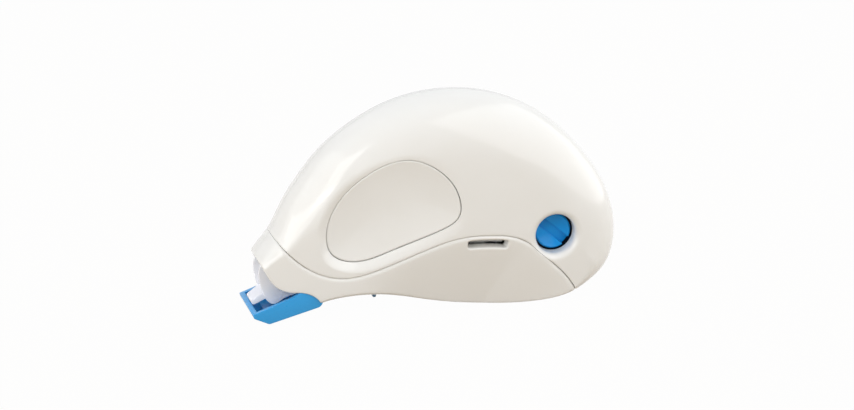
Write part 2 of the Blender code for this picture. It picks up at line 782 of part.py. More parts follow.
SPRING_WIRE = 0.3
SPRING_RADIUS = (CORE_RING + DRUM_IN) / 2
SPRING_TURNS = 3
SPRING_STEPS = 22
spring_low = SLEEVE_TOP + SPRING_WIRE
spring_rise = WEB_NEAR - GAP - SPRING_WIRE - spring_low
spring_curve = bpy.data.curves.new("clutch_spring", 'CURVE')
spring_curve.dimensions = '3D'
spring_curve.bevel_depth = SPRING_WIRE * MM
spring_curve.bevel_resolution = 1
spring_curve.use_fill_caps = True
wire = spring_curve.splines.new('POLY')
wire.points.add(SPRING_TURNS * SPRING_STEPS)
for station, point in enumerate(wire.points):
    turn = station * 2 * math.pi / SPRING_STEPS
    y = spring_low + spring_rise * station / (SPRING_TURNS * SPRING_STEPS)
    at = Vector((SPRING_RADIUS * math.cos(turn), y, SPRING_RADIUS * math.sin(turn))) * MM
    point.co = (*at, 1)
spring = bpy.data.objects.new("clutch_spring", spring_curve)
spring.location = on_axis(SUPPLY) * MM
enter(spring)

# Take-up reel and the slotted knob on its end

SPOOL_BORE = TAKE_UP_POST + GAP
spool_profile = (
    (SPOOL_BORE, GEAR_FAR + 0.1),
    (KEY_HUB, GEAR_FAR + 0.1),
    (KEY_HUB, GEAR_NEAR - GAP),
    (TAKE_UP_HUB, GEAR_NEAR - GAP),
    (TAKE_UP_HUB, -TAPE_HALF - 0.3),
    (TAKE_UP_FLANGE, -TAPE_HALF - 0.3),
    (TAKE_UP_FLANGE, FLANGE_TOP),
    (SPOOL_BORE, FLANGE_TOP),
)
turned("take_up_spool", TAKE_UP, spool_profile, True, 36)
tube("take_up_tape", TAKE_UP, TAKE_UP_HUB + GAP, TAKE_UP_TAPE, -TAPE_HALF, TAPE_HALF, 40)

KNOB_THICK = 1.6
KNOB_DOME = 0.25
KNOB_EDGE = 0.35
SLOT_WIDTH = 2.2
SLOT_DEPTH = 1.0
SLOT_TURN = math.radians(-40)
knob_profile = (
    (TAKE_UP_POST, -TAPE_HALF - GAP),
    (TAKE_UP_POST, KNOB_FACE + KNOB_THICK),
    (KNOB_RADIUS, KNOB_FACE + KNOB_THICK),
    (KNOB_RADIUS, KNOB_FACE + KNOB_DOME + KNOB_EDGE),
    (KNOB_RADIUS - KNOB_EDGE, KNOB_FACE + KNOB_DOME),
    (KNOB_RADIUS * 0.5, KNOB_FACE + 0.05),
    (0.3, KNOB_FACE),
)
knob = turned("tension_knob", TAKE_UP, knob_profile, False, 36)
along = np.array((math.cos(SLOT_TURN), math.sin(SLOT_TURN)))
aside = np.array((-along[1], along[0])) * SLOT_WIDTH / 2
slot_end = along * 2 * KNOB_RADIUS
slot_steps = (slot_end - aside, slot_end + aside, aside - slot_end, -aside - slot_end)
slot_outline = [TAKE_UP + step for step in slot_steps]
cut(knob, prism("knob_slot", slot_outline, -WIDTH, KNOB_FACE + SLOT_DEPTH))

# Guide rollers

FEED_TRUNNION = 0.7
feed_profile = (
    (FEED_TRUNNION, -TIP_FLANGE_OUT - 0.4),
    (FEED_TRUNNION, -TAPE_HALF - 0.1),
    (FEED_RADIUS, -TAPE_HALF - 0.1),
    (FEED_RADIUS, TAPE_HALF + 0.1),
    (FEED_TRUNNION, TAPE_HALF + 0.1),
    (FEED_TRUNNION, TIP_FLANGE_OUT + 0.4),
)
turned("feed_roller", FEED, feed_profile, False, 24)
tube("return_roller", RETURN, SHAFT + GAP, RETURN_RADIUS, -TAPE_HALF - 0.05, TAPE_HALF + 0.1, 28)

# Free length of tape


def crossing_tangent(first, first_radius, second, second_radius, turn):
    """Touch points of the line that leaves the first circle on one side, the second on the other."""
    link = second - first
    distance = np.linalg.norm(link)
    heading = math.atan2(link[1], link[0])
    lean = heading + turn * math.asin((first_radius + second_radius) / distance)
    normal = np.array((math.sin(lean), -math.cos(lean))) * turn
    return first + normal * first_radius, second - normal * second_radius


stops = (
    (SUPPLY, SUPPLY_TAPE + STRIP_CLEAR),
    (FEED, FEED_RADIUS + STRIP_CLEAR),
    (TIP, TIP_RADIUS + STRIP_CLEAR),
    (GUIDE, GUIDE_RADIUS + STRIP_CLEAR),
    (RETURN, RETURN_RADIUS + STRIP_CLEAR),
    (TAKE_UP, TAKE_UP_TAPE + STRIP_CLEAR),
)
path = []
turn_way = 1
arrive = None
for (here, radius), (there, next_radius) in zip(stops, stops[1:]):
    leave, meet = crossing_tangent(here, radius, there, next_radius, turn_way)
    if arrive is None:
        path.append(leave)
    else:
        start = math.atan2(*(arrive - here)[::-1])
        stop = math.atan2(*(leave - here)[::-1])
        sweep = (stop - start) * turn_way % (2 * math.pi) * turn_way
        for share in np.linspace(0, 1, 3 + int(abs(sweep) * 4)):
            angle = start + sweep * share
            path.append(here + radius * np.array((math.cos(angle), math.sin(angle))))
    arrive = meet
    turn_way = -turn_way
path.append(arrive)
path = np.array(path)
side_step = sideways(path, False) * STRIP_THICK / 2
prism("tape_run", [*(path + side_step), *reversed(path - side_step)], -TAPE_HALF, TAPE_HALF)

# Applicator tip: two flanges, the blade between them and the guide bar

FLANGE = (
    (-36.5, 4.5),
    (-36.75, 6.0),
    (-36.45, 8.2),
    (-35.5, 10.3),
    (-33.6, 12.6),
    (-31.0, 14.3),
    (-28.2, 14.9),
    (-26.5, 13.6),
    (-26.5, 11.0),
    (-27.0, 8.2),
    (-27.3, 6.2),
    (-28.6, 5.0),
    (-31.6, 3.9),
    (-34.6, 2.75),
    (-36.2, 3.4),
)
flange_line = smooth_line([side(x, z) for x, z in FLANGE], 40, True)
tip = prism("applicator_tip", flange_line, -TIP_FLANGE_OUT, -TIP_FLANGE_IN)
add(tip, prism("tip_far_flange", flange_line, TIP_FLANGE_IN, TIP_FLANGE_OUT))
to_feed = crossing_tangent(FEED, FEED_RADIUS + STRIP_CLEAR, TIP, TIP_RADIUS + STRIP_CLEAR, -1)
to_guide = crossing_tangent(TIP, TIP_RADIUS + STRIP_CLEAR, GUIDE, GUIDE_RADIUS + STRIP_CLEAR, 1)
top_way = (to_feed[0] - to_feed[1]) / np.linalg.norm(to_feed[0] - to_feed[1])
low_way = (to_guide[1] - to_guide[0]) / np.linalg.norm(to_guide[1] - to_guide[0])
BLADE_LENGTH = 5.2
top_side = np.array((-top_way[1], top_way[0])) * TIP_RADIUS
low_side = np.array((low_way[1], -low_way[0])) * TIP_RADIUS
start = math.atan2(top_side[1], top_side[0])
stop = math.atan2(low_side[1], low_side[0]) % (2 * math.pi)
nose_arc = [TIP + TIP_RADIUS * np.array((math.cos(t), math.sin(t))) for t in np.linspace(start, stop, 6)]
blade_back = [TIP + low_side + low_way * BLADE_LENGTH, TIP + top_side + top_way * BLADE_LENGTH]
add(tip, prism("tip_blade", [*nose_arc, *blade_back], -TAPE_HALF, TAPE_HALF))
BLADE_BAR = 0.55
bar_end = (TIP_FLANGE_IN + TIP_FLANGE_OUT) / 2
blade_root = TIP + (top_side + low_side) / 2 + (top_way + low_way) / 2 * (BLADE_LENGTH - BLADE_BAR)
add(tip, rod("blade_bar", blade_root, BLADE_BAR, -bar_end, bar_end, 16))
add(tip, rod("guide_bar", GUIDE, GUIDE_RADIUS, -bar_end, bar_end, 24))
cut(tip, rod("tip_peg_hole", TIP_PEG, PEG_THIN + GAP, -WIDTH, WIDTH, 16))
cut(tip, rod("feed_hole", FEED, FEED_TRUNNION + GAP, -WIDTH, WIDTH, 16))

# Flip cap: a scoop with two side walls, hung on inward pins

CAP_EAR = 1.4
heel_to_hinge = HINGE - CAP_HEEL
reach = np.linalg.norm(heel_to_hinge)
belly_turn = math.atan2(heel_to_hinge[1], heel_to_hinge[0]) - math.asin(CAP_EAR / reach)
belly_way = np.array((math.cos(belly_turn), math.sin(belly_turn)))
belly_up = np.array((-belly_way[1], belly_way[0]))
ear_turns = np.linspace(belly_turn - math.pi / 2, math.radians(115), 10)
ear = [HINGE + CAP_EAR * np.array((math.cos(t), math.sin(t))) for t in ear_turns]
cap_outline = [
    CAP_LIP,
    CAP_CHIN,
    CAP_HEEL,
    *ear,
    side(-27.6, 6.45),
    side(-28.8, 6.4),
    side(-30.6, 5.3),
]
tip_cap = prism("tip_cap", cap_outline, -CAP_HALF, CAP_HALF, HINGE)
ramp_way = (CAP_HEEL - CAP_CHIN) / np.linalg.norm(CAP_HEEL - CAP_CHIN)
ramp_up = np.array((-ramp_way[1], ramp_way[0]))
lip_inner = CAP_LIP + (CAP_WALL, 0.3)
ramp_inner = CAP_CHIN + ramp_up * CAP_FLOOR + ramp_way * 0.3
heel_inner = CAP_HEEL + (ramp_up + belly_up) / (1 + ramp_up @ belly_up) * CAP_FLOOR
FLOOR_END = 2.1
floor_end = HINGE - belly_way * FLOOR_END - belly_up * (CAP_EAR - CAP_FLOOR)
inside = [
    lip_inner + (0, 8.0),
    lip_inner,
    ramp_inner,
    heel_inner,
    floor_end,
    floor_end - belly_up * 4.0,
    floor_end - belly_up * 4.0 + belly_way * 8.0,
    floor_end + belly_up * 8.0 + belly_way * 8.0,
]
cut(tip_cap, prism("cap_inside", inside, -CAP_HALF + CAP_WALL, CAP_HALF - CAP_WALL))
for side_name, sign in (("left", -1), ("right", 1)):
    pin_ends = across(sign, BARREL_HALF - PIN_BITE, CAP_HALF - CAP_WALL / 2)
    add(tip_cap, rod("cap_pin_" + side_name, HINGE, HINGE_PIN, *pin_ends, 14))

# Catch for the opened cap, in a pocket on the seam of the two base halves

CATCH_FOOT = side(-12.5, 1.85)
CATCH_THICK = 0.9
CATCH_HALF = 1.5
CATCH_TOP = BAY_TOP - 0.9
catch_outline = [
    CATCH_FOOT + (-CATCH_THICK / 2 - 0.25, 0.6),
    CATCH_FOOT + (-0.3, 0.0),
    CATCH_FOOT + (0.3, 0.0),
    CATCH_FOOT + (CATCH_THICK / 2, 0.6),
    (CATCH_FOOT[0] + CATCH_THICK / 2, CATCH_TOP),
    (CATCH_FOOT[0] - CATCH_THICK / 2, CATCH_TOP),
    CATCH_FOOT + (-CATCH_THICK / 2, 1.2),
]
prism("cap_catch", catch_outline, -CATCH_HALF, CATCH_HALF)
pocket_wide = CATCH_THICK / 2 + GAP
pocket = box(
    "catch_pocket",
    CATCH_FOOT[0] - pocket_wide,
    CATCH_FOOT[0] + pocket_wide,
    -CATCH_HALF - GAP,
    CATCH_HALF + GAP,
    -HEIGHT,
    CATCH_TOP + GAP,
)
for side_name in ("left", "right"):
    base = bpy.data.objects["base_" + side_name]
    cut(base, pocket)
    weld(base)
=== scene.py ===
"""Looks of a correction tape: a cream mouse-shaped housing, a blue flip cap and a blue tension knob."""

import json
import math

import bpy
import numpy as np
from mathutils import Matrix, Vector, geometry, kdtree


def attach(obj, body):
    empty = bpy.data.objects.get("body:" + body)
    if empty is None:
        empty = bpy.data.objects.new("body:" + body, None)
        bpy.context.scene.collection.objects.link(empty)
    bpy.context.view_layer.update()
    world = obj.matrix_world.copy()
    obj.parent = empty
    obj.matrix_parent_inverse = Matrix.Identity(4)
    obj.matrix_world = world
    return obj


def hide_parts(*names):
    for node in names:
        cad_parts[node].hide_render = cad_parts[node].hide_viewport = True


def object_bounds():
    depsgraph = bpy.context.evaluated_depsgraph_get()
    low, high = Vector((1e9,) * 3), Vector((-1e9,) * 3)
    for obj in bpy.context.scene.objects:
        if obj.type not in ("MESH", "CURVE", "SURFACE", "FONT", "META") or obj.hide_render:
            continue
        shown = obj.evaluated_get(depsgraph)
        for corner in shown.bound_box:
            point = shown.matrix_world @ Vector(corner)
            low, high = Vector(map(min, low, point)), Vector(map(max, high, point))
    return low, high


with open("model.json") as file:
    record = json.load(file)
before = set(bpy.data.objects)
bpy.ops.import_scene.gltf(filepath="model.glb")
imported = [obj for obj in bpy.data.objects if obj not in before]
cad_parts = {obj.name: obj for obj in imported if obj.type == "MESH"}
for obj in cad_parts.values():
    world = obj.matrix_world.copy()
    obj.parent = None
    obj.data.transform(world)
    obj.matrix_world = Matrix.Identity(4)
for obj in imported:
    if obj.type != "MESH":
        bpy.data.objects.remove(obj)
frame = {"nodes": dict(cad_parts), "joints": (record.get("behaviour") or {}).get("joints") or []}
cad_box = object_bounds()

# Sizes in millimetres. x runs from nose to tail, z up, and the side view looks along +y.

MM = 0.001
HALF = (cad_box[1].y - cad_box[0].y) / 2 / MM
# Side-view points are written this much too far forward
MIDDLE = 0.33

# Housing: walls, rounded edge, seam of the halves, and the gap and lips at the parting line
WALL = 1.3
HOOD_LEAST = 0.8
BASE_LEAST = 0.25
EDGE_POWER = 2.3
ROOM_EDGE = 1.2
SEAM = 0.05
SEAM_EDGE = 0.15
PART_GAP = 0.07
HOOD_LIP = 0.18
BASE_LIP = 0.95
BASE_LIP_DEEP = 0.55
SNOUT_LIP = 0.3

# Crown of the sides, tuck of the belly under the parting line, taper of the nose
CROWN = 1.0
CROWN_LONG = 40.0
CROWN_HIGH = 24.0
CROWN_TOP = (2.0, 23.0)
TUCK = 0.24
TUCK_ROUND = 1.5
TUCK_FROM = -20.0
TUCK_LONG = 15.0
TAPER = 1.3
TAPER_START = -18.0
TAPER_LONG = 16.0

# Grip pad, its seat and the dish round it
PAD_MIDDLE = (-10.0, 22.0)
PAD_LEVEL = 8.06
PAD_LEAN = (0.051, 0.018)
PAD_THICK = 1.05
PAD_GAP = 0.11
PAD_EDGE = 0.35
PAD_HOLLOW = 0.9
PAD_REACH = 9.0
SEAT_GAP = 0.1
SEAT_WALL = 0.5
SEAT_REACH = 0.85
DISH_SLOPE = 2.0
DISH_CREST = 1.35

# Knob's well
WELL_RADIUS = 4.15
WELL_LIP = 1.4
WELL_FADE = 0.6
WELL_WALL = 0.5
WELL_END = 5.2

# Latch window
WINDOW_LONG = 8.4
WINDOW_HIGH = 1.65
WINDOW_LIP = 0.45
WINDOW_END = 5.6
WINDOW_WALL = 0.5

# Bay that the opened cap lies in, and half the tape's width
BAY_HALF = 7.5
BAY_AIR = 0.02
BAY_CEILING = 5.9
BAY_TOP = 7.0
TAPE_HALF = 2.5


def joint_spot(name):
    """Side-view place of a joint's axis."""
    joint = next(row for row in frame["joints"] if row["name"] == name)
    return np.array((joint["pos_m"][0], joint["pos_m"][2])) / MM


HINGE = joint_spot("cap_hinge")
TAKE_UP = joint_spot("take_up_spin")
SUPPLY = joint_spot("supply_spin")
FEED = joint_spot("feed_spin")
BAY_FRONT = HINGE[0] + 0.6
BAY_REAR = HINGE[0] + 11.9
BLOCK_REAR = BAY_REAR + 3.3
WINDOW = np.array((9.7 + MIDDLE, 14.15))

# Outline of the side view with the depth of its rounded edge

OUTLINE = (
    (-38.3, 9.6, 1.8), (-37.2, 12.9, 2.2), (-34.1, 17.1, 3.8), (-31.6, 22.2, 6.2),
    (-27.5, 28.8, 9.0), (-23.4, 33.8, 10.8), (-17.3, 38.7, 12.3), (-10.0, 42.6, 13.0),
    (2.0, 45.0, 13.5), (12.0, 43.8, 13.5), (22.0, 39.2, 12.5), (30.5, 31.4, 12.2),
    (36.5, 21.8, 11.4), (38.2, 13.6, 10.4), (36.2, 6.2, 7.0), (29.8, 1.9, 2.2),
    (22.0, 0.1, 0.7), (12.5, -0.25, 0.6), (3.1, 0.7, 0.7), (-4.4, 2.2, 1.1),
    (-12.0, 3.8, 1.5), (-19.0, 4.0, 1.6), (-24.6, 2.9, 1.6), (-31.0, 0.8, 2.0),
    (-36.6, 3.5, 2.6),
)

# Line between hood and base, from the nose to the foot of the tail

PARTING = (
    (-41.5, 25.2), (-34.6, 18.2), (-31.7, 15.0), (-26.8, 11.0), (-20.4, 9.0),
    (-12.8, 10.4), (-3.2, 13.9), (5.1, 16.0), (10.0, 16.0), (14.8, 15.35), (18.4, 13.6),
    (20.4, 11.65), (22.6, 9.7), (25.8, 6.6), (28.6, 2.5), (30.4, -2.5),
)

# Edge of the snout's opening, from its top to the front of the bay

SNOUT = (
    (-41.5, 14.4), (-37.9, 13.7), (-36.4, 11.4), (-35.4, 9.6), (-34.3, 8.0),
    (-32.5, 6.75), (-30.7, 6.3), (-28.5, 6.2), (-26.9, 5.7), (-25.6, 4.8), (-24.7, 3.3),
    (-24.3, 0.5),
)

# Edge of the grip pad

GRIP = (
    (-6.8, 33.1), (-0.6, 30.5), (3.5, 24.9), (3.6, 20.5), (-0.6, 17.6), (-10.2, 14.1),
    (-18.6, 12.2), (-22.5, 14.0), (-23.6, 18.4), (-21.1, 25.1), (-15.0, 30.6),
)

# Vectors and curves of the side view


def polar(turn):
    """Unit vector in this direction, or one for each of several."""
    return np.stack((np.cos(turn), np.sin(turn)), axis=-1)


def turn_of(way):
    """Direction of a vector."""
    return math.atan2(way[1], way[0])


def unit(way):
    """The vector at a length of one."""
    return way / np.linalg.norm(way)


def smooth_line(knots, spacing, closed=False):
    """Evenly spaced points of the cubic spline through the knots, shifted to the frame's middle."""
    points = np.array(knots, float)
    points[:, 0] += MIDDLE
    if closed:
        points = np.vstack((points, points[:1]))
    last = len(points) - 1
    span = np.linalg.norm(np.diff(points[:, :2], axis=0), axis=1)
    slope = np.diff(points, axis=0) / span[:, None]
    system = np.zeros((last + 1, last + 1))
    right = np.zeros_like(points)
    for i in range(1, last):
        system[i, i - 1:i + 2] = span[i - 1], 2 * (span[i - 1] + span[i]), span[i]
        right[i] = 6 * (slope[i] - slope[i - 1])
    system[0, 0] = 1
    if closed:
        system[0, last] = -1
        system[last, 0] += 2 * (span[0] + span[-1])
        system[last, 1] += span[0]
        system[last, last - 1] += span[-1]
        right[last] = 6 * (slope[0] - slope[-1])
    else:
        system[last, last] = 1
    bend = np.linalg.solve(system, right)
    b = np.linspace(0, 1, 200, endpoint=False)[:, None]
    a = 1 - b
    dense = []
    for i in range(last):
        curve = ((a**3 - a) * bend[i] + (b**3 - b) * bend[i + 1]) * span[i] ** 2 / 6
        dense.append(a * points[i] + b * points[i + 1] + curve)
    dense = np.vstack((*dense, points[last:]))
    return even(dense, spacing, closed)


def even(line, spacing, closed=False):
    """The line again with points at an even spacing, in which a fourth column counts as height."""
    steps = np.linalg.norm(np.diff(line[:, :2], axis=0), axis=1)
    if line.shape[1] == 4:
        steps = np.hypot(steps, np.diff(line[:, 3]))
    along = np.concatenate(((0,), np.cumsum(steps)))
    count = max(2, math.ceil(along[-1] / spacing)) + (not closed)
    wanted = np.linspace(0, along[-1], count, endpoint=not closed)
    return np.stack([np.interp(wanted, along, column) for column in line.T], axis=1)


def even_loop(spots, spacing):
    """A closed loop with its spots at an even spacing."""
    return even(np.vstack((spots, spots[:1])), spacing, True)


def tree_of(spots):
    """Search tree over side-view spots."""
    tree = kdtree.KDTree(len(spots))
    for index, (x, z) in enumerate(spots):
        tree.insert((x, z, 0), index)
    tree.balance()
    return tree


class SideCurve:
    """A fine curve of the side view that can say how far a spot lies to its right."""

    def __init__(self, rows, closed):
        self.rows = rows
        self.spots = rows[:, :2]
        if closed:
            step = np.roll(self.spots, -1, axis=0) - np.roll(self.spots, 1, axis=0)
        else:
            step = np.gradient(self.spots, axis=0)
        self.way = step / np.linalg.norm(step, axis=1)[:, None]
        self.right = np.stack((self.way[:, 1], -self.way[:, 0]), axis=1)
        self.tree = tree_of(self.spots)

    def nearest(self, spots):
        """Index of the nearest curve point, the distance to its right and the way on from it."""
        index = np.array([self.tree.find((x, z, 0))[1] for x, z in spots], int)
        off = spots - self.spots[index]
        to_right = (off * self.right[index]).sum(axis=1)
        return index, to_right, (off * self.way[index]).sum(axis=1)

    def distance(self, spots):
        """Distance to the right of the curve."""
        return self.nearest(spots)[1]

    def moved(self, shift):
        """The curve's spots moved to its right."""
        return self.spots + self.right * np.reshape(shift, (-1, 1))


FINE = 0.1
outline = SideCurve(smooth_line(OUTLINE, FINE, True), True)
depth_slope = np.gradient(outline.rows[:, 2]) / FINE
parting = SideCurve(smooth_line(PARTING, FINE), False)
snout = SideCurve(smooth_line(SNOUT, FINE), False)
grip = SideCurve(smooth_line(GRIP, FINE, True), True)

# Heights of the skins over the middle plane


def above(spots):
    """Distance up from the upper edge of the parting gap."""
    return -parting.distance(spots) - PART_GAP / 2


def below(spots):
    """Distance down from the lower edge of the parting gap."""
    return parting.distance(spots) - PART_GAP / 2


def behind_snout(spots):
    """Distance behind the edge of the snout's opening."""
    return -snout.distance(spots)


def edge_rise(share):
    """Height over the rounded edge of the housing: 0 at the outline, 1 where the side runs flat."""
    return (1 - (1 - np.clip(share, 0, 1)) ** EDGE_POWER) ** (1 / EDGE_POWER)


def edge_share(rise):
    """The way in from the outline at which the rounded edge has this height."""
    return 1 - (1 - rise**EDGE_POWER) ** (1 / EDGE_POWER)


def edge_place(spots):
    """Nearest outline point, distance from the outline and depth of the rounded edge there."""
    index, inside_by, on = outline.nearest(spots)
    return index, inside_by, outline.rows[index, 2] + depth_slope[index] * on


def plain_skin(spots):
    """The housing's side: gently crowned, narrower at the nose and rounded down at the outline."""
    _, inside_by, depth = edge_place(spots)
    off = (spots - CROWN_TOP) / (CROWN_LONG, CROWN_HIGH)
    taper = np.clip((TAPER_START - spots[:, 0]) / TAPER_LONG, 0, None) ** 2 * TAPER
    return (HALF - CROWN * (off**2).sum(axis=1) - taper) * edge_rise(inside_by / depth)


def unrolled(spots):
    """Side-view spots with the rounded edge laid out flat, so that a net over it has even triangles."""
    index, inside_by, depth = edge_place(spots)
    return spots - outline.right[index] * (HALF * (1 - edge_rise(inside_by / depth)))[:, None]


def roll(distance, radius):
    """Drop of a rolled edge near it."""
    short = np.clip(radius - distance, 0, radius)
    return radius - np.sqrt(radius**2 - short**2)


def roll_steps(radius, count):
    """Distances from a rolled edge that are even along its arc."""
    turns = np.linspace(0, math.pi / 2, count + 1)[1:]
    return radius * (1 - np.cos(turns))


def pad_level(spots):
    """Level of the pad's rim: almost flush at its upper rear, deepest at its lower front."""
    return PAD_LEVEL + (spots - PAD_MIDDLE) @ PAD_LEAN


def seat_level(spots):
    """Level of the seat behind the pad."""
    return pad_level(spots) - PAD_THICK - SEAT_GAP


def with_well(drop, spots):
    """Drop of a lip that gives way to the soft rim round the knob's well."""
    away = np.linalg.norm(spots - TAKE_UP, axis=1) - WELL_RADIUS
    lip_share = np.clip(away / WELL_LIP - WELL_FADE, 0, 1)
    return np.maximum(drop * lip_share, roll(away, WELL_LIP))


def hood_skin(spots, well):
    """Outer skin of the hood: the dish round the pad, the rolled lower edge and the knob's well."""
    height = plain_skin(spots)
    share = np.clip((-grip.distance(spots) - PAD_GAP) / DISH_SLOPE, 0, 1)
    level = pad_level(spots)
    height = height - np.maximum(height - level, 0) * (1 - share) ** DISH_CREST
    drop = roll(above(spots), HOOD_LIP)
    return height - (with_well(drop, spots) if well else drop)


def base_skin(spots, well):
    """Outer skin of the base: tucked in below, rolled at the parting line, the snout and the window."""
    under = below(spots)
    drop = roll(under, BASE_LIP) * BASE_LIP_DEEP / BASE_LIP
    if well:
        drop = with_well(drop, spots)
    drop = np.maximum(drop, roll(behind_snout(spots), SNOUT_LIP))
    drop = np.maximum(drop, roll(-window.distance(spots), WINDOW_LIP))
    under = np.clip(under, 0, None)
    belly_share = np.clip((spots[:, 0] - TUCK_FROM) / TUCK_LONG, 0, 1)
    belly_share = belly_share**2 * (3 - 2 * belly_share)
    tuck = TUCK * belly_share * under**2 / (under + TUCK_ROUND)
    plain = plain_skin(spots)
    return np.maximum(plain - tuck * (plain / HALF), 0) - drop


def room_skin(spots):
    """Inner skin: the middle plane within a wall of the outline, then the rounded room."""
    _, inside_by, depth = edge_place(spots)
    share = (inside_by - WALL) / np.maximum(depth - WALL, ROOM_EDGE)
    return SEAM + (HALF - WALL - SEAM) * edge_rise(share)


def hood_room(spots):
    """Inner skin of the hood with the back of the dish."""
    out = np.clip((-grip.distance(spots) - SEAT_REACH) / DISH_SLOPE, 0, 1)
    back = seat_level(spots) - SEAT_WALL
    back = back + (HALF - WALL - back) * out
    room = np.minimum(room_skin(spots), plain_skin(spots) - HOOD_LEAST)
    return np.maximum(np.minimum(room, back), SEAM)


def base_room(spots):
    """Inner skin of the base with the bay for the opened cap."""
    x, z = spots.T
    height = room_skin(spots)
    block = (x > BAY_FRONT) & (x < BLOCK_REAR) & (z < BAY_TOP)
    bay = (x < BAY_REAR) & (z < BAY_CEILING)
    height = np.where(block, SEAM, height)
    height = np.where(bay, BAY_HALF - BAY_AIR, height)
    return np.maximum(np.minimum(height, base_skin(spots, False) - BASE_LEAST), SEAM)


# Nets of triangles over the side view

# Spots tested at once, least clearance from a rim, and distance at which two spots are one
BATCH = 4000
RIM_CLEAR = 0.01
MERGE = 1e-7
# Edges flatter than this are shaded smooth
SMOOTH = math.radians(40)


def inside(loops, spots):
    """Which spots lie inside the first loop and outside the others."""
    odd = np.zeros(len(spots), bool)
    for loop in loops:
        ends = np.roll(loop, -1, axis=0)
        for start in range(0, len(spots), BATCH):
            x, z = spots[start:start + BATCH].T[:, :, None]
            spans = (loop[:, 1] > z) != (ends[:, 1] > z)
            rise = np.where(ends[:, 1] == loop[:, 1], 1, ends[:, 1] - loop[:, 1])
            at = loop[:, 0] + (z - loop[:, 1]) / rise * (ends[:, 0] - loop[:, 0])
            odd[start:start + BATCH] ^= (spans & (x < at)).sum(axis=1) % 2 == 1
    return odd


def gather(loops, families):
    """Spots inside the loops, each family (spots, clearance) clear of the families before it."""
    rim = tree_of(np.vstack(loops))
    kept = np.zeros((0, 2))
    for spots, clear in families:
        spots = spots[inside(loops, spots)]
        before = tree_of(kept)
        good = []
        for x, z in spots:
            free = rim.find((x, z, 0))[2] > min(clear, RIM_CLEAR)
            if free and len(kept):
                free = before.find((x, z, 0))[2] > clear
            good.append(free)
        kept = np.vstack((kept, spots[np.array(good, bool)]))
    return kept


def lattice(loop, spacing):
    """Spots of a triangular lattice over a loop."""
    low, high = loop.min(axis=0), loop.max(axis=0)
    rows = np.arange(low[1], high[1], spacing * math.sqrt(0.75))
    columns = np.arange(low[0], high[0], spacing)
    return np.array([(x + spacing / 2 * (i % 2), z) for i, z in enumerate(rows) for x in columns])


class Net:
    """Corners and faces of one piece, from spots and heights in millimetres."""

    def __init__(self, sign):
        self.sign = sign
        self.corners = []
        self.faces = []

    def add(self, spots, heights):
        """Adds corners and gives their numbers."""
        first = len(self.corners)
        for (x, z), y in zip(spots, heights):
            self.corners.append((x * MM, self.sign * y * MM, max(z, 0) * MM))
        return list(range(first, len(self.corners)))

    def fill(self, loops, spots, rims, heights, lay=None):
        """Adds a net of triangles inside the loops and gives the corner numbers of each loop."""
        every = np.vstack((*loops, spots))
        flat = lay(every) if lay else every
        flat_loops = [lay(loop) if lay else loop for loop in loops]
        edges = []
        rings = []
        for loop in loops:
            ring = list(range(len(edges), len(edges) + len(loop)))
            edges += zip(ring, ring[1:] + ring[:1])
            rings.append(ring)
        made = geometry.delaunay_2d_cdt([Vector(p) for p in flat], edges, [], 0, MERGE)
        origin = [found[0] for found in made[3]]
        triangles = np.array([[origin[i] for i in face] for face in made[2]])
        middles = flat[triangles].mean(axis=1)
        triangles = triangles[inside(flat_loops, middles)]
        numbers = self.add(every, np.concatenate((*rims, heights)))
        self.faces += [[numbers[i] for i in face] for face in triangles]
        return [[numbers[i] for i in ring] for ring in rings]

    def strip(self, ring, other):
        """Joins two rings of as many corners with a band of faces."""
        for i in range(len(ring)):
            j = (i + 1) % len(ring)
            self.faces.append([ring[i], ring[j], other[j], other[i]])

    def sleeve(self, ring, mouth, end, back, other):
        """Wall of a hole: from its outer ring down to an end, and up behind it to the inner ring."""
        foot = self.add(mouth, np.full(len(mouth), end))
        rear = self.add(back, np.full(len(back), end))
        self.strip(ring, foot)
        self.strip(foot, rear)
        self.strip(rear, other)

    def piece(self, name):
        """Makes the object, with its faces outward and its soft edges smooth."""
        mesh = bpy.data.meshes.new(name)
        mesh.from_pydata(self.corners, [], self.faces)
        made = bpy.data.objects.new(name, mesh)
        bpy.context.scene.collection.objects.link(made)
        pick(made)
        bpy.ops.object.mode_set(mode="EDIT")
        bpy.ops.mesh.select_all(action="SELECT")
        bpy.ops.mesh.delete_loose()
        face_outward()
        bpy.ops.object.shade_smooth_by_angle(angle=SMOOTH)
        return made


def pick(made):
    """Selects one object alone and makes it the active one."""
    bpy.ops.object.select_all(action="DESELECT")
    made.select_set(True)
    bpy.context.view_layer.objects.active = made


def face_outward():
    """Turns the faces of the piece in edit mode outward and leaves edit mode."""
    bpy.ops.mesh.select_all(action="SELECT")
    bpy.ops.mesh.normals_make_consistent(inside=False)
    bpy.ops.object.mode_set(mode="OBJECT")


# Edges of the hood and the base

SPACING = 0.4
SKIN_SPACING = 0.3
PARTING_SAMPLES = 6000
SNOUT_SAMPLES = 4000
BAY_EDGE = 1.6
BAY_EDGE_TOP = 9.0
NOSE_TOP = 20.0
NOSE_REAR = -30.0
JUST_INSIDE = 0.001
column_step = round(SPACING / FINE)


def along_skin(line, samples):
    """Spots of a line that are evenly spaced on the skin, however steep it is there."""
    given = np.linspace(0, 1, len(line))
    wanted = np.linspace(0, 1, samples)
    spots = np.column_stack([np.interp(wanted, given, column) for column in line.T])
    with_height = np.column_stack((spots, np.zeros(samples), plain_skin(spots)))
    return even(with_height, SKIN_SPACING)[:, :2]


def zero_spot(spots, least, end, outer):
    """Where the least measure is zero, between the last spot inside and the first one outside."""
    share = least[end] / (least[end] - least[outer])
    return spots[end] + (spots[outer] - spots[end]) * share


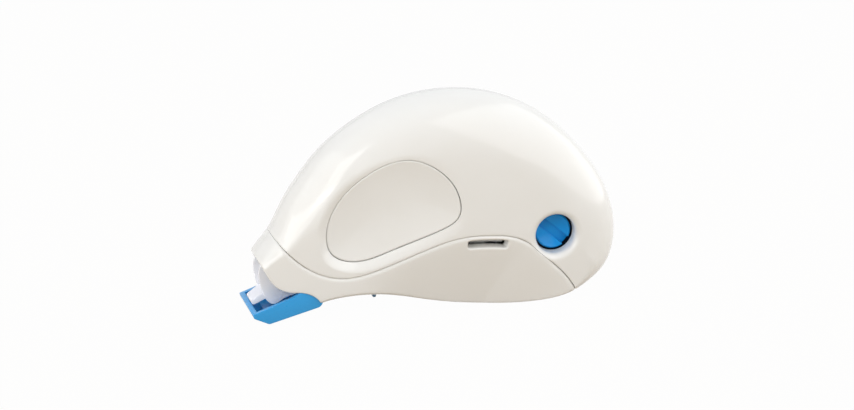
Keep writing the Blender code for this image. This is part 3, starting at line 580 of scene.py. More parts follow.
def run_inside(spots, *measures):
    """The part of a line where every measure is above zero, ending where one is zero."""
    least = np.min([measure(spots) for measure in measures], axis=0)
    within = np.flatnonzero(least > 0)
    first, last = within[0], within[-1]
    run = list(spots[first:last + 1])
    if first > 0:
        run.insert(0, zero_spot(spots, least, first, first - 1))
    if last < len(spots) - 1:
        run.append(zero_spot(spots, least, last, last + 1))
    return np.array(run)


def parting_edge(side):
    """Upper (-1) or lower (1) edge of the parting gap, from nose to tail."""
    line = parting.moved(side * PART_GAP / 2)
    return along_skin(run_inside(line, outline.distance), PARTING_SAMPLES)


def rolled(start):
    """The outline's spots in order, from the given index."""
    return np.roll(outline.spots, -start, axis=0)


def past_bay(spots):
    """Distance behind the bay's rear wall."""
    return spots[:, 0] - BAY_REAR


def under_and_ahead(top, rear):
    """A measure that is above zero under the one and ahead of the other."""
    return lambda spots: np.minimum(top - spots[:, 1], rear - spots[:, 0])


def in_outline(spots):
    """Above zero inside the outline."""
    return outline.distance(spots) - JUST_INSIDE


belly = int(outline.spots[:, 1].argmin())
tail = int(outline.spots[:, 0].argmax())
hood_edge = parting_edge(-1)
base_edge = parting_edge(1)
crown_edge = run_inside(rolled(belly), above)[1:-1:column_step]
hood_loop = np.vstack((crown_edge, hood_edge[::-1]))

belly_run = run_inside(rolled(tail), below, past_bay)
belly_edge = belly_run[1:-1:column_step]
bay_line = outline.moved(outline.rows[:, 2] * edge_share(BAY_HALF / HALF))
bay_run = run_inside(np.roll(bay_line, -tail, axis=0), behind_snout, under_and_ahead(BAY_EDGE_TOP, BAY_REAR))
bay_edge = bay_run[1:-1:column_step]
bay_corner = [belly_run[-1] + (0, BAY_EDGE * edge_share(rise)) for rise in np.linspace(0.08, 0.8, 16)]
snout_run = run_inside(snout.spots, in_outline)
snout_low = int(np.linalg.norm(snout_run - bay_run[-1], axis=1).argmin())
snout_edge = along_skin(snout_run[:snout_low], SNOUT_SAMPLES)
nose_run = run_inside(rolled(belly), below, behind_snout, under_and_ahead(NOSE_TOP, NOSE_REAR))
nose_edge = nose_run[1:-1:column_step]
base_loop = np.vstack((base_edge, belly_edge, bay_corner, bay_edge, snout_edge[::-1], nose_edge))

# Shells of the housing. Spots in a net come in families, each with the clearance it keeps.

OUTER_NET = 0.45
PAD_NET = 0.6
ROOM_NET = 1.2
HIDDEN_NET = 1.5
EDGE_RINGS = 46
RING_CROWDING = 0.9
ROOM_RISES = np.linspace(0, 0.98, 9)
ROOM_FOOT = 0.02
HOOD_RIM = 0.1
BASE_RIM = 0.02
WELL_SIDES = 128
# One more ring of spots outside the rolled edges of the well and the window
WELL_SURROUND = 0.3
WINDOW_SURROUND = 0.6
BAY_STEP = 0.012
BAY_START = -30.0
BAY_LOW = 4.0
ring_turns = np.linspace(0, math.pi / 2, EDGE_RINGS)[1:-1]
ring_shares = edge_share(np.sin(ring_turns) ** RING_CROWDING)
edge_columns = outline.spots[::column_step]
edge_right = outline.right[::column_step]
edge_depth = outline.rows[::column_step, 2:3]
dish_edge = even_loop(grip.moved(-PAD_GAP), SKIN_SPACING)
dish_steps = PAD_GAP + DISH_SLOPE * np.linspace(0, 1.3, 16)[1:]
dish_rings = np.vstack([grip.moved(-step)[::column_step] for step in dish_steps])
outline_rings = np.vstack([edge_columns + edge_right * edge_depth * share for share in ring_shares])


def room_rings():
    """Rings where the room rises from the middle plane, and one just outside it."""
    reach = np.maximum(edge_depth - WALL, ROOM_EDGE)
    rings = [edge_columns + edge_right * (WALL - ROOM_FOOT)]
    for share in edge_share(ROOM_RISES):
        rings.append(edge_columns + edge_right * (WALL + reach * share))
    return np.vstack(rings)[::2]


def bay_steps():
    """Spots close to both sides of each step of the bay, so that the steps stay sharp."""
    spots = []
    for shift in (-BAY_STEP, BAY_STEP):
        spots += [(BAY_REAR + shift, z) for z in np.arange(BAY_LOW, BAY_CEILING, SKIN_SPACING)]
        spots += [(BLOCK_REAR + shift, z) for z in np.arange(BAY_LOW, BAY_TOP, SKIN_SPACING)]
        spots += [(x, BAY_CEILING + shift) for x in np.arange(BAY_START, BAY_REAR, SPACING)]
        spots += [(x, BAY_TOP + shift) for x in np.arange(BAY_FRONT, BLOCK_REAR, SPACING)]
        spots += [(BAY_FRONT + shift, z) for z in np.arange(BAY_CEILING + 0.1, BAY_TOP, SKIN_SPACING)]
    return np.array(spots)


def beside(line, distances):
    """Rows of spots at distances to the right of a line."""
    curve = SideCurve(line, False)
    return np.vstack([curve.moved(distance) for distance in distances])


def well_ring(out):
    """Circle of spots this far outside the edge of the knob's well."""
    turns = np.arange(WELL_SIDES) * 2 * math.pi / WELL_SIDES
    return TAKE_UP + (WELL_RADIUS + out) * polar(turns)


def line_room(net, ring, rim, loops, families, room):
    """Adds the inner skin of a shell, joined along its first loop to the outer skin's ring."""
    spots = gather(loops, families)
    rims = [room(loop) for loop in loops]
    rims[0] = np.clip(np.minimum(rims[0], rim), SEAM, None)
    rings = net.fill(loops, spots, rims, room(spots))
    net.strip(ring, rings[0])
    return rings


def hood(name, sign, well):
    """One half of the hood, with the seat of its grip pad and, on the near side, the knob's well."""
    net = Net(sign)
    loops = [hood_loop, dish_edge]
    room_loops = [hood_loop]
    families = [(beside(hood_edge, -roll_steps(HOOD_LIP, 4)), 0.01)]
    if well:
        steps = (*roll_steps(WELL_LIP, 9), WELL_LIP + WELL_SURROUND)
        families.append((np.vstack([well_ring(step) for step in steps]), 0.03))
        loops.append(well_ring(0))
        room_loops.append(well_ring(WELL_WALL))
    families += [(dish_rings, 0.12), (outline_rings, 0.16), (lattice(hood_loop, OUTER_NET), 0.3)]
    spots = gather(loops, families)
    rims = [hood_skin(loop, well) for loop in loops]
    rims[0] = np.maximum(rims[0], SEAM_EDGE)
    rims[0][:len(crown_edge)] = SEAM_EDGE
    rings = net.fill(loops, spots, rims, hood_skin(spots, well), unrolled)

    seat_spots = gather([dish_edge], [(lattice(dish_edge, HIDDEN_NET), 0.5)])
    seat = net.fill([dish_edge], seat_spots, [seat_level(dish_edge)], seat_level(seat_spots))[0]
    net.strip(rings[1], seat)

    room_families = [(room_rings(), 0.05), (lattice(hood_loop, HIDDEN_NET), 0.7)]
    room = line_room(net, rings[0], rims[0] - HOOD_RIM, room_loops, room_families, hood_room)
    if well:
        net.sleeve(rings[2], loops[2], WELL_END, room_loops[1], room[1])
    return net.piece(name)


def base(name, sign, well):
    """One half of the base, with the latch window and the bay that the opened cap swings through."""
    net = Net(sign)
    loops = [base_loop, window_edge]
    window_steps = (*roll_steps(WINDOW_LIP, 6), WINDOW_SURROUND)
    families = [
        (beside(base_edge, roll_steps(BASE_LIP, 9)), 0.01),
        (beside(snout_edge, -roll_steps(SNOUT_LIP, 4)), 0.03),
        (np.vstack([window.moved(-step)[::2] for step in window_steps]), 0.03),
        (outline_rings, 0.12),
        (lattice(base_loop, OUTER_NET), 0.3),
    ]
    spots = gather(loops, families)
    rims = [np.maximum(base_skin(loop, well), SEAM_EDGE) for loop in loops]
    first = len(base_edge)
    rims[0][first:first + len(belly_edge)] = SEAM_EDGE
    rims[0][len(base_loop) - len(nose_edge):] = SEAM_EDGE
    rings = net.fill(loops, spots, rims, base_skin(spots, well), unrolled)

    sill_edge = window.moved(-WINDOW_WALL)
    room_families = [(bay_steps(), 0.01), (room_rings(), 0.1), (lattice(base_loop, ROOM_NET), 0.5)]
    room = line_room(net, rings[0], rims[0] - BASE_RIM, [base_loop, sill_edge], room_families, base_room)
    net.sleeve(rings[1], window_edge, WINDOW_END, sill_edge, room[1])
    return net.piece(name)


# Latch window: a slot that follows the parting line

WINDOW_CORNER = WINDOW_HIGH / 2
SQUARENESS = 4
window_drop = parting.distance(WINDOW[None])[0]
middle_line = parting.moved(window_drop)
near = np.abs(middle_line[:, 0] - WINDOW[0]) < WINDOW_LONG / 2 - WINDOW_CORNER
slot_line = SideCurve(middle_line[near], False)
end_turn = turn_of(slot_line.way[-1])
start_turn = turn_of(slot_line.way[0])


def slot_end(centre, turn):
    """End of the slot with rounded corners, clockwise through the given direction."""
    turns = np.linspace(math.pi / 2, -math.pi / 2, 13)[1:-1]
    squared = np.abs(np.cos(turns)) ** SQUARENESS + np.abs(np.sin(turns)) ** SQUARENESS
    return centre + WINDOW_CORNER * polar(turn + turns) / squared[:, None] ** (1 / SQUARENESS)


slot = np.vstack(
    (
        slot_line.moved(-WINDOW_CORNER),
        slot_end(slot_line.spots[-1], end_turn),
        slot_line.moved(WINDOW_CORNER)[::-1],
        slot_end(slot_line.spots[0], start_turn + math.pi),
    )
)
window_edge = even_loop(slot, SKIN_SPACING / 2)
window = SideCurve(window_edge, True)

housing_pieces = [
    hood("hood_left_shell", -1, True),
    hood("hood_right_shell", 1, False),
    base("base_left_shell", -1, True),
    base("base_right_shell", 1, False),
]

# Grip pads

PAD_RINGS = (*roll_steps(PAD_EDGE, 4), 0.3, 0.55, 0.9)


def pad_face(spots):
    """Slightly hollow face of the pad, rolled down at its edge."""
    inside_by = grip.distance(spots)
    bowl = PAD_HOLLOW * (1 - (1 - np.clip(inside_by / PAD_REACH, 0, 1)) ** 2)
    return pad_level(spots) - bowl - roll(inside_by, PAD_EDGE)


def grip_pad(name, sign):
    """Satin pad with a plain back."""
    net = Net(sign)
    edge = even_loop(grip.spots, SKIN_SPACING)
    rolls = np.vstack([grip.moved(step)[::3] for step in PAD_RINGS])
    spots = gather([edge], [(rolls, 0.01), (lattice(edge, PAD_NET), 0.35)])
    front = net.fill([edge], spots, [pad_face(edge)], pad_face(spots))[0]
    back_spots = gather([edge], [(lattice(edge, HIDDEN_NET), 0.5)])
    back_rim = pad_level(edge) - PAD_THICK
    back = net.fill([edge], back_spots, [back_rim], pad_level(back_spots) - PAD_THICK)[0]
    net.strip(front, back)
    return net.piece(name)


pad_left = grip_pad("grip_pad_left_satin", -1)
pad_right = grip_pad("grip_pad_right_satin", 1)

# Small pieces, each from a primitive shaped in edit mode


def round_off(corners, radii):
    """An outline with its corners rounded by arcs of the given radii."""
    corners = np.array(corners, float)
    points = []
    for i, radius in enumerate(radii):
        here = corners[i]
        if not radius:
            points.append(here)
            continue
        ways = [unit(corners[i - 1] - here), unit(corners[(i + 1) % len(corners)] - here)]
        half = math.acos(np.clip(ways[0] @ ways[1], -1, 1)) / 2
        bisector = unit(ways[0] + ways[1])
        centre = here + bisector * radius / math.sin(half)
        ends = [here + way * radius / math.tan(half) - centre for way in ways]
        turns = [turn_of(end) for end in ends]
        sweep = (turns[1] - turns[0] + math.pi) % (2 * math.pi) - math.pi
        for turn in turns[0] + sweep * np.linspace(0, 1, 3 + int(abs(sweep) * 8)):
            points.append(centre + radius * polar(turn))
    return np.array(points)


def plate(name, spots, low, high):
    """A flat shape: a filled circle whose corners go to the outline's places, then extruded across."""
    low, high = sorted((low, high))
    bpy.ops.object.select_all(action="DESELECT")
    bpy.ops.mesh.primitive_circle_add(vertices=len(spots), radius=MM, fill_type="NGON")
    made = bpy.context.object
    made.name = name
    for corner, (x, z) in zip(made.data.vertices, spots):
        corner.co = (x * MM, low * MM, z * MM)
    bpy.ops.object.mode_set(mode="EDIT")
    bpy.ops.mesh.select_all(action="SELECT")
    bpy.ops.mesh.extrude_region_move(TRANSFORM_OT_translate={"value": (0, (high - low) * MM, 0)})
    face_outward()
    return made


def turned(name, centre, profile, sides=96):
    """A turned shape: a filled circle, extruded and resized along (radius, y) steps."""
    bpy.ops.object.select_all(action="DESELECT")
    radius, y = profile[0]
    place = Vector((centre[0] * MM, y * MM, centre[1] * MM))
    bpy.ops.mesh.primitive_circle_add(
        vertices=sides,
        radius=radius * MM,
        fill_type="NGON",
        location=place,
        rotation=(math.pi / 2, 0, 0),
    )
    made = bpy.context.object
    made.name = name
    bpy.ops.object.transform_apply(location=True, rotation=True, scale=True)
    bpy.ops.object.mode_set(mode="EDIT")
    bpy.ops.mesh.select_all(action="SELECT")
    for next_radius, next_y in profile[1:]:
        bpy.ops.mesh.extrude_region_move(TRANSFORM_OT_translate={"value": (0, (next_y - y) * MM, 0)})
        place.y = next_y * MM
        share = next_radius / radius
        bpy.ops.transform.resize(value=(share, 1, share), center_override=place)
        radius, y = next_radius, next_y
    face_outward()
    return made


def cut(made, cutter):
    """Takes the cutter's shape away from a piece."""
    pick(made)
    bpy.ops.object.modifier_add(type="BOOLEAN")
    made.modifiers[-1].object = cutter
    made.modifiers[-1].solver = "EXACT"
    bpy.ops.object.modifier_apply(modifier=made.modifiers[-1].name)
    bpy.data.objects.remove(cutter)


def soften(made, width, segments=3, angle=30):
    """Rounds a piece's edges and smooths its shading."""
    pick(made)
    bpy.ops.object.modifier_add(type="BEVEL")
    bevel = made.modifiers[-1]
    bevel.width = width * MM
    bevel.segments = segments
    bevel.limit_method = "ANGLE"
    bevel.angle_limit = math.radians(angle)
    bpy.ops.object.modifier_apply(modifier=bevel.name)
    bpy.ops.object.shade_smooth_by_angle(angle=math.radians(angle))
    return made


def join(made, *others):
    """Makes one piece of several."""
    pick(made)
    for other in others:
        other.select_set(True)
    bpy.ops.object.join()
    return made


# Tension knob: a dished disc with a wide screwdriver slot

KNOB_RADIUS = 3.7
KNOB_FACE = 5.5
KNOB_BACK = 3.7
KNOB_DISH = 0.9
KNOB_EDGE = 0.3
KNOB_SOFT = 0.12
STEM_RADIUS = 1.5
STEM_GAP = 0.3
SLOT_WIDTH = 1.9
SLOT_DEEP = 1.2
SLOT_TURN = math.radians(-40)
knob_profile = [
    (STEM_RADIUS, -TAPE_HALF - STEM_GAP),
    (STEM_RADIUS, -KNOB_BACK),
    (KNOB_RADIUS, -KNOB_BACK),
    (KNOB_RADIUS, -KNOB_FACE + KNOB_EDGE),
]
for share in np.linspace(1, 0.02, 12):
    radius = (KNOB_RADIUS - KNOB_EDGE) * share
    knob_profile.append((radius, -KNOB_FACE + KNOB_DISH * (1 - share**2)))
knob = turned("tension_knob_disc", TAKE_UP, knob_profile)
reach = polar(SLOT_TURN) * 2 * KNOB_RADIUS
aside = polar(SLOT_TURN + math.pi / 2) * SLOT_WIDTH / 2
slot_corners = [TAKE_UP + step for step in (reach - aside, reach + aside, aside - reach, -aside - reach)]
cut(knob, plate("knob_slot", slot_corners, -HALF, -KNOB_FACE + SLOT_DEEP))
soften(knob, KNOB_SOFT, angle=25)

# Flip cap: a scoop with two side walls, an ear on each round the hinge and a pin inside it

CAP_HALF = 7.2
CAP_WALL = 1.0
CAP_FLOOR = 0.9
CAP_FLOOR_STOP = 2.1
CAP_STEP = 0.3
CAP_SOFT = 0.28
CAP_EAR = 1.4
EAR_END = math.radians(115)
CAP_PIN = 0.6
CAP_PIN_START = 4.3
CAP_LIP = np.array((-38.9 + MIDDLE, 2.3))
CAP_CHIN = np.array((-38.6 + MIDDLE, 1.5))
CAP_HEEL = np.array((-35.5 + MIDDLE, 0.1))
# Rounding of the lip, the chin and the heel
CAP_ROUNDS = (0.25, 0.25, 0.9)
# Upper edge of the side walls from the ear forward: x, z and the rounding there
CAP_TOP = ((-27.6, 6.45, 0.35), (-28.8, 6.4, 1.0), (-30.6, 5.3, 2.5))
# How far the cutter of the inside reaches out of the cap
CLEAR = 8.0
heel_to_hinge = HINGE - CAP_HEEL
belly_turn = turn_of(heel_to_hinge)
belly_turn -= math.asin(CAP_EAR / np.linalg.norm(heel_to_hinge))
belly_way, belly_up = polar(belly_turn), polar(belly_turn + math.pi / 2)
ear_turns = np.linspace(belly_turn - math.pi / 2, EAR_END, 24)
ear = [HINGE + CAP_EAR * polar(turn) for turn in ear_turns]
cap_corners = [CAP_LIP, CAP_CHIN, CAP_HEEL, *ear]
cap_radii = [*CAP_ROUNDS] + [0] * len(ear)
for x, z, radius in CAP_TOP:
    cap_corners.append(np.array((x + MIDDLE, z)))
    cap_radii.append(radius)
cap = plate("tip_cap_scoop", round_off(cap_corners, cap_radii), -CAP_HALF, CAP_HALF)
ramp_way = unit(CAP_HEEL - CAP_CHIN)
ramp_up = np.array((-ramp_way[1], ramp_way[0]))
lip_inner = CAP_LIP + (CAP_WALL, CAP_STEP)
ramp_inner = CAP_CHIN + ramp_up * CAP_FLOOR + ramp_way * CAP_STEP
heel_inner = CAP_HEEL + (ramp_up + belly_up) / (1 + ramp_up @ belly_up) * CAP_FLOOR
floor_end = HINGE - belly_way * CAP_FLOOR_STOP - belly_up * (CAP_EAR - CAP_FLOOR)
cap_inside = [
    lip_inner + (0, CLEAR),
    lip_inner,
    ramp_inner,
    heel_inner,
    floor_end,
    floor_end - belly_up * CLEAR / 2,
    floor_end - belly_up * CLEAR / 2 + belly_way * CLEAR,
    floor_end + belly_up * CLEAR + belly_way * CLEAR,
]
cut(cap, plate("cap_inside", cap_inside, -CAP_HALF + CAP_WALL, CAP_HALF - CAP_WALL))
soften(cap, CAP_SOFT)
for sign in (-1, 1):
    pin_ends = [(CAP_PIN, sign * CAP_PIN_START), (CAP_PIN, sign * (CAP_HALF - CAP_WALL / 2))]
    pin = turned("cap_pin", HINGE, pin_ends, 32)
    bpy.ops.object.shade_smooth_by_angle(angle=SMOOTH)
    join(cap, pin)

# Applicator tip: two clear flanges, a blade between them and the bars that carry the tape

FLANGE = (
    (-35.0, 3.6), (-35.9, 5.2), (-36.5, 7.4), (-36.8, 9.6), (-36.4, 11.4),
    (-35.0, 13.2), (-32.6, 14.4), (-30.0, 14.9), (-27.6, 14.6), (-26.5, 13.2),
    (-26.5, 11.0), (-27.0, 8.2), (-27.3, 6.2), (-28.6, 5.0), (-31.6, 3.9), (-34.0, 2.9),
)
FLANGE_IN = 2.6
FLANGE_OUT = 3.0
FLANGE_SPACING = 0.35
FLANGE_SOFT = 0.15
TIP_RADIUS = 0.3
TIP = np.array((-37.75 + MIDDLE, 3.45))
GUIDE = np.array((FEED[0], 6.2))
GUIDE_RADIUS = 0.9
FEED_RADIUS = 1.5
RETURN = joint_spot("return_spin")
RETURN_RADIUS = 1.9
SUPPLY_TAPE = 13.23
TAKE_UP_TAPE = 7.2
STRIP = 0.14
STRIP_LIFT = 0.1
BLADE_LENGTH = 5.2
REAR_BAR_RADIUS = 0.55
REAR_BAR_INSET = 0.5
BAR_SINK = 0.2


def crossing_tangent(first, first_radius, second, second_radius, turn):
    """Touch points of the line that leaves the first circle on one side, the second on the other."""
    link = second - first
    lean = turn_of(link)
    lean += turn * math.asin((first_radius + second_radius) / np.linalg.norm(link))
    normal = np.array((math.sin(lean), -math.cos(lean))) * turn
    return first + normal * first_radius, second - normal * second_radius


stops = (
    (SUPPLY, SUPPLY_TAPE),
    (FEED, FEED_RADIUS),
    (TIP, TIP_RADIUS),
    (GUIDE, GUIDE_RADIUS),
    (RETURN, RETURN_RADIUS),
    (TAKE_UP, TAKE_UP_TAPE),
)
path = []
turn_way = 1
arrive = None
for (here, radius), (there, next_radius) in zip(stops, stops[1:]):
    radius += STRIP_LIFT
    leave, meet = crossing_tangent(here, radius, there, next_radius + STRIP_LIFT, turn_way)
    if arrive is None:
        path.append(leave)
    else:
        start = turn_of(arrive - here)
        stop = turn_of(leave - here)
        sweep = (stop - start) * turn_way % (2 * math.pi) * turn_way
        for share in np.linspace(0, 1, 6 + int(abs(sweep) * 8)):
            path.append(here + radius * polar(start + sweep * share))
    arrive = meet
    turn_way = -turn_way
path.append(arrive)
strip = SideCurve(np.array(path), False)
strip_spots = [*strip.moved(STRIP / 2), *strip.moved(-STRIP / 2)[::-1]]
tape = plate("tape_run_strip", strip_spots, -TAPE_HALF, TAPE_HALF)
bpy.ops.object.shade_smooth_by_angle(angle=math.radians(30))

flange_spots = smooth_line(FLANGE, FLANGE_SPACING, True)
tip_parts = []
for sign in (-1, 1):
    flange = plate("tip_flange", flange_spots, sign * FLANGE_IN, sign * FLANGE_OUT)
    tip_parts.append(soften(flange, FLANGE_SOFT))
to_feed = crossing_tangent(FEED, FEED_RADIUS, TIP, TIP_RADIUS, -1)
to_guide = crossing_tangent(TIP, TIP_RADIUS, GUIDE, GUIDE_RADIUS, 1)
top_way = unit(to_feed[0] - to_feed[1])
low_way = unit(to_guide[1] - to_guide[0])
top_side = np.array((-top_way[1], top_way[0])) * TIP_RADIUS
low_side = np.array((low_way[1], -low_way[0])) * TIP_RADIUS
start = turn_of(top_side)
stop = turn_of(low_side) % (2 * math.pi)
blade = [TIP + TIP_RADIUS * polar(turn) for turn in np.linspace(start, stop, 12)]
blade += [TIP + low_side + low_way * BLADE_LENGTH, TIP + top_side + top_way * BLADE_LENGTH]
tip_parts.append(plate("tip_blade", blade, -FLANGE_IN, FLANGE_IN))
rear_bar = TIP + (top_way + low_way) / 2 * (BLADE_LENGTH - REAR_BAR_INSET)
for centre, radius in ((GUIDE, GUIDE_RADIUS), (rear_bar, REAR_BAR_RADIUS)):
    bar_ends = [(radius, -FLANGE_IN - BAR_SINK), (radius, FLANGE_IN + BAR_SINK)]
    tip_parts.append(turned("tip_bar", centre, bar_ends, 48))
    bpy.ops.object.shade_smooth_by_angle(angle=SMOOTH)
tip = join(*tip_parts)
tip.name = "applicator_tip_clear"

# Feed roller between the flanges

TRUNNION = 0.7
TRUNNION_OUT = 0.4
ROLLER_OVER = 0.1
feed_half = TAPE_HALF + ROLLER_OVER
feed_end = FLANGE_OUT + TRUNNION_OUT
feed_profile = [
    (TRUNNION, -feed_end),
    (TRUNNION, -feed_half),
    (FEED_RADIUS, -feed_half),
    (FEED_RADIUS, feed_half),
    (TRUNNION, feed_half),
    (TRUNNION, feed_end),
]
feed = soften(turned("feed_roller_turned", FEED, feed_profile, 64), 0.08)

# Catch that holds the opened cap: a nub with its hook to the front, on a shank up into the base

CATCH = np.array((-12.3 + MIDDLE, 1.85))
CATCH_HALF = 0.7
CATCH_SHANK = 0.45
CATCH_SINK = 0.9
catch_corners = [
    CATCH + (-0.42, 0.6),
    CATCH + (-0.25, 0),
    CATCH + (0.3, 0),
    CATCH + (CATCH_SHANK, 0.6),
    (CATCH[0] + CATCH_SHANK, BAY_TOP - CATCH_SINK),
    (CATCH[0] - CATCH_SHANK, BAY_TOP - CATCH_SINK),
    CATCH + (-CATCH_SHANK, 1.2),
]
catch = soften(plate("cap_catch_nub", catch_corners, -CATCH_HALF, CATCH_HALF), 0.12)

# Latch hooks behind the windows, and the hinge barrels of the base

HOOK_DEPTH = 5.0
HOOK_BACK = 4.4
HOOK_GAP = 0.25
BARREL_RADIUS = 1.5
BARREL_END = 5.9
barrel_web = [
    HINGE + (-0.6, 0),
    HINGE + (2.2, 0),
    (HINGE[0] + 2.2, BAY_TOP),
    (HINGE[0] + 0.2, BAY_TOP),
]
for sign, hood_half, base_half in zip((-1, 1), housing_pieces[:2], housing_pieces[2:]):
    hook_spots = window.moved(HOOK_GAP)[::2]
    hook = plate("latch_hook", hook_spots, sign * HOOK_BACK, sign * HOOK_DEPTH)
    join(hood_half, soften(hook, 0.2))
    barrel_ends = [(BARREL_RADIUS, sign * SEAM), (BARREL_RADIUS, sign * BARREL_END)]
    barrel = turned("hinge_barrel", HINGE, barrel_ends, 64)
    web = plate("barrel_web", barrel_web, sign * SEAM, sign * BARREL_END)
    join(base_half, soften(barrel, 0.1), soften(web, 0.1))

# Materials: nodes with real sizes in object space


def colour(code):
    """Linear colour of an sRGB hex code."""
    parts = [int(code[i:i + 2], 16) / 255 for i in (1, 3, 5)]
    return (*[c / 12.92 if c <= 0.04045 else ((c + 0.055) / 1.055) ** 2.4 for c in parts], 1)


def empty_tree(owner):
    """The cleared node tree of a material or a world."""
    owner.use_nodes = True
    owner.node_tree.nodes.clear()
    return owner.node_tree


def node(tree, kind, inputs=None, **settings):
    """Adds a node, sets it and links the sockets that are given as inputs."""
    made = tree.nodes.new(kind)
    for key, value in settings.items():
        setattr(made, key, value)
    for key, value in (inputs or {}).items():
        if isinstance(value, bpy.types.NodeSocket):
            tree.links.new(value, made.inputs[key])
        else:
            made.inputs[key].default_value = value
    return made


def finish_of(name, tone, other, cloud, rough, grain, **extra):
    """A moulded finish: two close tones in clouds, a roughness that wanders, and a fine grain in relief.

    cloud is a width, rough the roughness and its spread, grain a width and the height of its relief.
    Sizes are in millimetres. The real grain is finer than a pixel, so it is drawn as coarse as it needs
    to show.
    """
    made = bpy.data.materials.new(name)
    tree = empty_tree(made)
    place = node(tree, "ShaderNodeTexCoord").outputs["Object"]
    fields = []
    for size, detail in ((cloud, 2.0), (cloud / 3, 2.0), (grain[0], 3.0)):
        inputs = {"Vector": place, "Scale": 1 / (size * MM), "Detail": detail}
        fields.append(node(tree, "ShaderNodeTexNoise", inputs).outputs["Fac"])
    clouds, wander, grains = fields
    mixed = node(tree, "ShaderNodeMix", {0: clouds, 6: colour(tone), 7: colour(other)}, data_type="RGBA")
    low, high = rough[0] - rough[1], rough[0] + rough[1]
    rougher = node(tree, "ShaderNodeMapRange", {"Value": wander, "To Min": low, "To Max": high})
    bump = node(tree, "ShaderNodeBump", {"Height": grains, "Strength": 0.5, "Distance": grain[1] * MM})
    inputs = {
        "Base Color": mixed.outputs[2],
        "Roughness": rougher.outputs["Result"],
        "Normal": bump.outputs["Normal"],
        **extra,
    }
    shader = node(tree, "ShaderNodeBsdfPrincipled", inputs)
    node(tree, "ShaderNodeOutputMaterial", {"Surface": shader.outputs["BSDF"]})
    return made


# Housing: ABS from a polished mould, a clean gloss over a faintly cloudy cream
cream = finish_of("cream gloss ABS", "#E9E9E7", "#E6E6E3", 7.0, (0.11, 0.015), (0.5, 0.003))
# Grip pads: the same ABS from a spark-eroded mould, whose grain spreads the light to a satin
satin = finish_of("satin cream ABS", "#E8E8E6", "#E5E5E2", 6.0, (0.42, 0.04), (0.22, 0.01))
# Flip cap: moulded polypropylene, a bright sky blue with a soft gloss
sky = finish_of("sky blue polypropylene", "#2C9BDC", "#2B99DA", 5.0, (0.28, 0.015), (0.4, 0.002))
# Knob: moulded ABS of a deeper blue than the cap, with a weak reflection
weak = {"Specular IOR Level": 0.2}
deep = finish_of("deep blue ABS", "#1096E6", "#0F90DE", 4.0, (0.2, 0.02), (0.3, 0.003), **weak)
# Applicator tip: milky moulded polycarbonate, whose inside scatters the light to a cold white
milky = {"Subsurface Weight": 0.15, "Subsurface Scale": 0.0005, "Subsurface Radius": (1, 1, 1)}
clear = finish_of("milky clear polycarbonate", "#F8FAFF", "#F4F7FF", 4.0, (0.2, 0.03), (0.4, 0.002), **milky)
# Tape: coated film, a cold white with a dull sheen
film = finish_of("white correction film", "#F0F2FA", "#E9ECF6", 3.0, (0.38, 0.05), (0.3, 0.006))
# Catch: moulded ABS, a dull slate blue
slate = finish_of("slate blue ABS", "#5F88AC", "#5A81A4", 3.0, (0.4, 0.04), (0.3, 0.004))
# Gears, hub and rollers: moulded acetal, a waxy white
acetal = finish_of("white acetal", "#E9E9E4", "#E1E1DB", 4.0, (0.38, 0.04), (0.3, 0.004))
# Inner frame and the caps of the supply reel: moulded polystyrene, a plain light grey
grey = finish_of("grey polystyrene", "#C9CBCB", "#C1C4C4", 4.0, (0.4, 0.04), (0.3, 0.004))
# Take-up spool: moulded polystyrene, a blue that is almost black; this near-black is painted shade, standing
# in for the shadow in the gap round the knob
navy_painted_shade = finish_of("navy polystyrene", "#14263C", "#112136", 4.0, (0.4, 0.04), (0.3, 0.004))
# Friction ring: moulded rubber, dark and dull
rubber = finish_of("dark friction rubber", "#3A3B3D", "#333436", 2.0, (0.7, 0.05), (0.2, 0.02))
# Clutch spring: drawn steel wire with a soft shine
steel = finish_of("spring steel", "#B9BBBE", "#ACAFB3", 2.0, (0.3, 0.05), (0.2, 0.003), Metallic=1.0)

made_pieces = {
    "hood_left": (housing_pieces[0], "housing", cream),
    "hood_right": (housing_pieces[1], "housing", cream),
    "base_left": (housing_pieces[2], "housing", cream),
    "base_right": (housing_pieces[3], "housing", cream),
    "grip_pad_left": (pad_left, "housing", satin),
    "grip_pad_right": (pad_right, "housing", satin),
    "applicator_tip": (tip, "housing", clear),
    "tape_run": (tape, "housing", film),
    "cap_catch": (catch, "housing", slate),
    "tip_cap": (cap, "cap", sky),
    "tension_knob": (knob, "take_up", deep),
    "feed_roller": (feed, "feed", acetal),
}
for name, (piece, body, look) in made_pieces.items():
    piece.data.materials.clear()
    piece.data.materials.append(look)
    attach(piece, body)
    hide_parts(name)
kept_nodes = {
    "chassis": grey,
    "supply_gear": acetal,
    "supply_core": acetal,
    "friction_ring": rubber,
    "clutch_spring": steel,
    "clutch_cap": grey,
    "supply_retainer": grey,
    "supply_tape": film,
    # the near-black spool is painted shade for the gap round the knob
    "take_up_spool": navy_painted_shade,
    "take_up_gear": acetal,
    "take_up_tape": film,
    "return_roller": acetal,
}
for name, look in kept_nodes.items():
    node_mesh = frame["nodes"][name].data
    node_mesh.materials.clear()
    node_mesh.materials.append(look)

# Stage: a floor and a world that the camera sees as white, soft boxes and a long lens

# Share of plain white in the floor that the camera sees; the rest keeps a trace of the shadow
FLOOR_WHITE = 0.98


def seen_by_eye(tree):
    """1 for the rays that meet plain white, from the camera, mirrored or through clear plastic; else 0."""
    rays = node(tree, "ShaderNodeLightPath").outputs
    kinds = {0: rays["Is Camera Ray"], 1: rays["Is Glossy Ray"]}
    seen = node(tree, "ShaderNodeMath", kinds, operation="MAXIMUM")
    kinds = {0: seen.outputs[0], 1: rays["Is Transmission Ray"]}
    return node(tree, "ShaderNodeMath", kinds, operation="MAXIMUM").outputs[0]


bpy.ops.object.select_all(action="DESELECT")
bpy.ops.mesh.primitive_plane_add(size=8)
floor = bpy.context.object
floor.name = "floor"
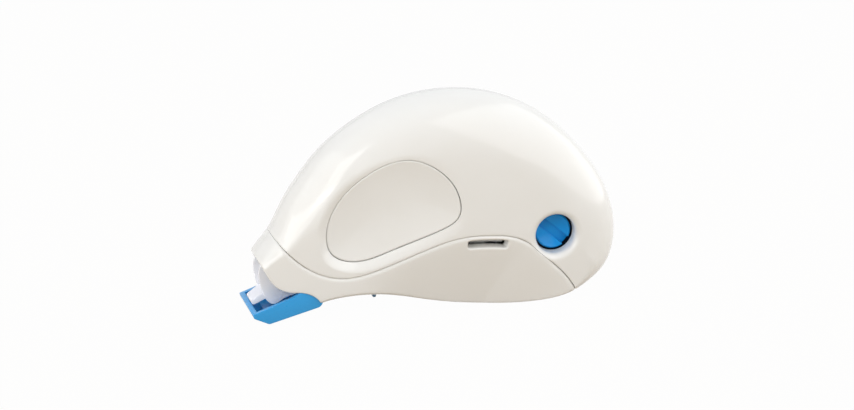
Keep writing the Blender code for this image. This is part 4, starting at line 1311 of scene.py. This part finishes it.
# Buff card: it sends a warm light up to the belly
floor_look = bpy.data.materials.new("buff card")
tree = empty_tree(floor_look)
card = node(tree, "ShaderNodeBsdfDiffuse", {"Color": colour("#A08B68")})
glow = node(tree, "ShaderNodeEmission", {"Color": (1, 1, 1, 1), "Strength": 1.0})
share = node(tree, "ShaderNodeMath", {0: seen_by_eye(tree), 1: FLOOR_WHITE}, operation="MULTIPLY")
mixed = node(tree, "ShaderNodeMixShader", {0: share.outputs[0], 1: card.outputs[0], 2: glow.outputs[0]})
node(tree, "ShaderNodeOutputMaterial", {"Surface": mixed.outputs[0]})
floor.data.materials.append(floor_look)

scene = bpy.context.scene
scene.view_settings.view_transform = "Standard"
world = bpy.data.worlds.new("white studio")
scene.world = world
tree = empty_tree(world)
fill = node(tree, "ShaderNodeBackground", {"Color": colour("#F8FAFF"), "Strength": 0.35})
white = node(tree, "ShaderNodeBackground", {"Color": (1, 1, 1, 1), "Strength": 1.0})
mixed = node(tree, "ShaderNodeMixShader", {0: seen_by_eye(tree), 1: fill.outputs[0], 2: white.outputs[0]})
node(tree, "ShaderNodeOutputWorld", {"Surface": mixed.outputs[0]})

# Camera: angles, the point it is aimed by, and that point's offset from the picture's middle in pixels
VIEW_TURN = math.radians(-13.5)
VIEW_RISE = math.radians(18)
AIM = Vector((0, 0, 20)) * MM
PIXEL = 0.204
WIDE = 854
HIGH = 410
AIM_SPOT = (430.4 - WIDE / 2, 207.6 - HIGH / 2)
DISTANCE = 900
SENSOR = 36


def direction(turn, rise):
    """Unit vector from the object towards a viewpoint."""
    return Vector((math.sin(turn) * math.cos(rise), -math.cos(turn) * math.cos(rise), math.sin(rise)))


back = direction(VIEW_TURN, VIEW_RISE)
right = Vector((math.cos(VIEW_TURN), math.sin(VIEW_TURN), 0))
up = back.cross(right)
target = AIM - right * AIM_SPOT[0] * PIXEL * MM + up * AIM_SPOT[1] * PIXEL * MM
camera_place = target + back * DISTANCE * MM
bpy.ops.object.camera_add(location=camera_place, rotation=back.to_track_quat("Z", "Y").to_euler())
camera = bpy.context.object
camera.data.sensor_width = SENSOR
camera.data.lens = SENSOR * DISTANCE / (WIDE * PIXEL)
scene.camera = camera


def soft_box(name, turn, rise, distance, wide, high, power):
    """An area light that faces the object: degrees round and up, metres away, wide and high, watts."""
    way = direction(math.radians(turn), math.radians(rise))
    place = AIM + way * distance
    bpy.ops.object.light_add(type="AREA", location=place, rotation=way.to_track_quat("Z", "Y").to_euler())
    made = bpy.context.object
    made.name = name
    made.data.shape = "RECTANGLE"
    made.data.size = wide
    made.data.size_y = high
    made.data.energy = power


soft_box("key box", -20, 66, 0.6, 0.8, 0.6, 0.12)
soft_box("left panel", -80, 25, 0.5, 0.6, 0.44, 0.95)
soft_box("right panel", 66, 24, 0.7, 1.5, 1.0, 7.6)
soft_box("low front panel", -60, 12, 0.55, 0.7, 0.2, 1.0)
soft_box("low right panel", 98, 4, 0.6, 0.6, 0.3, 0.4)
soft_box("back panel", 170, 45, 0.7, 0.9, 0.7, 0.7)
soft_box("front box", -37, 28, 0.6, 0.2, 0.28, 0.5)
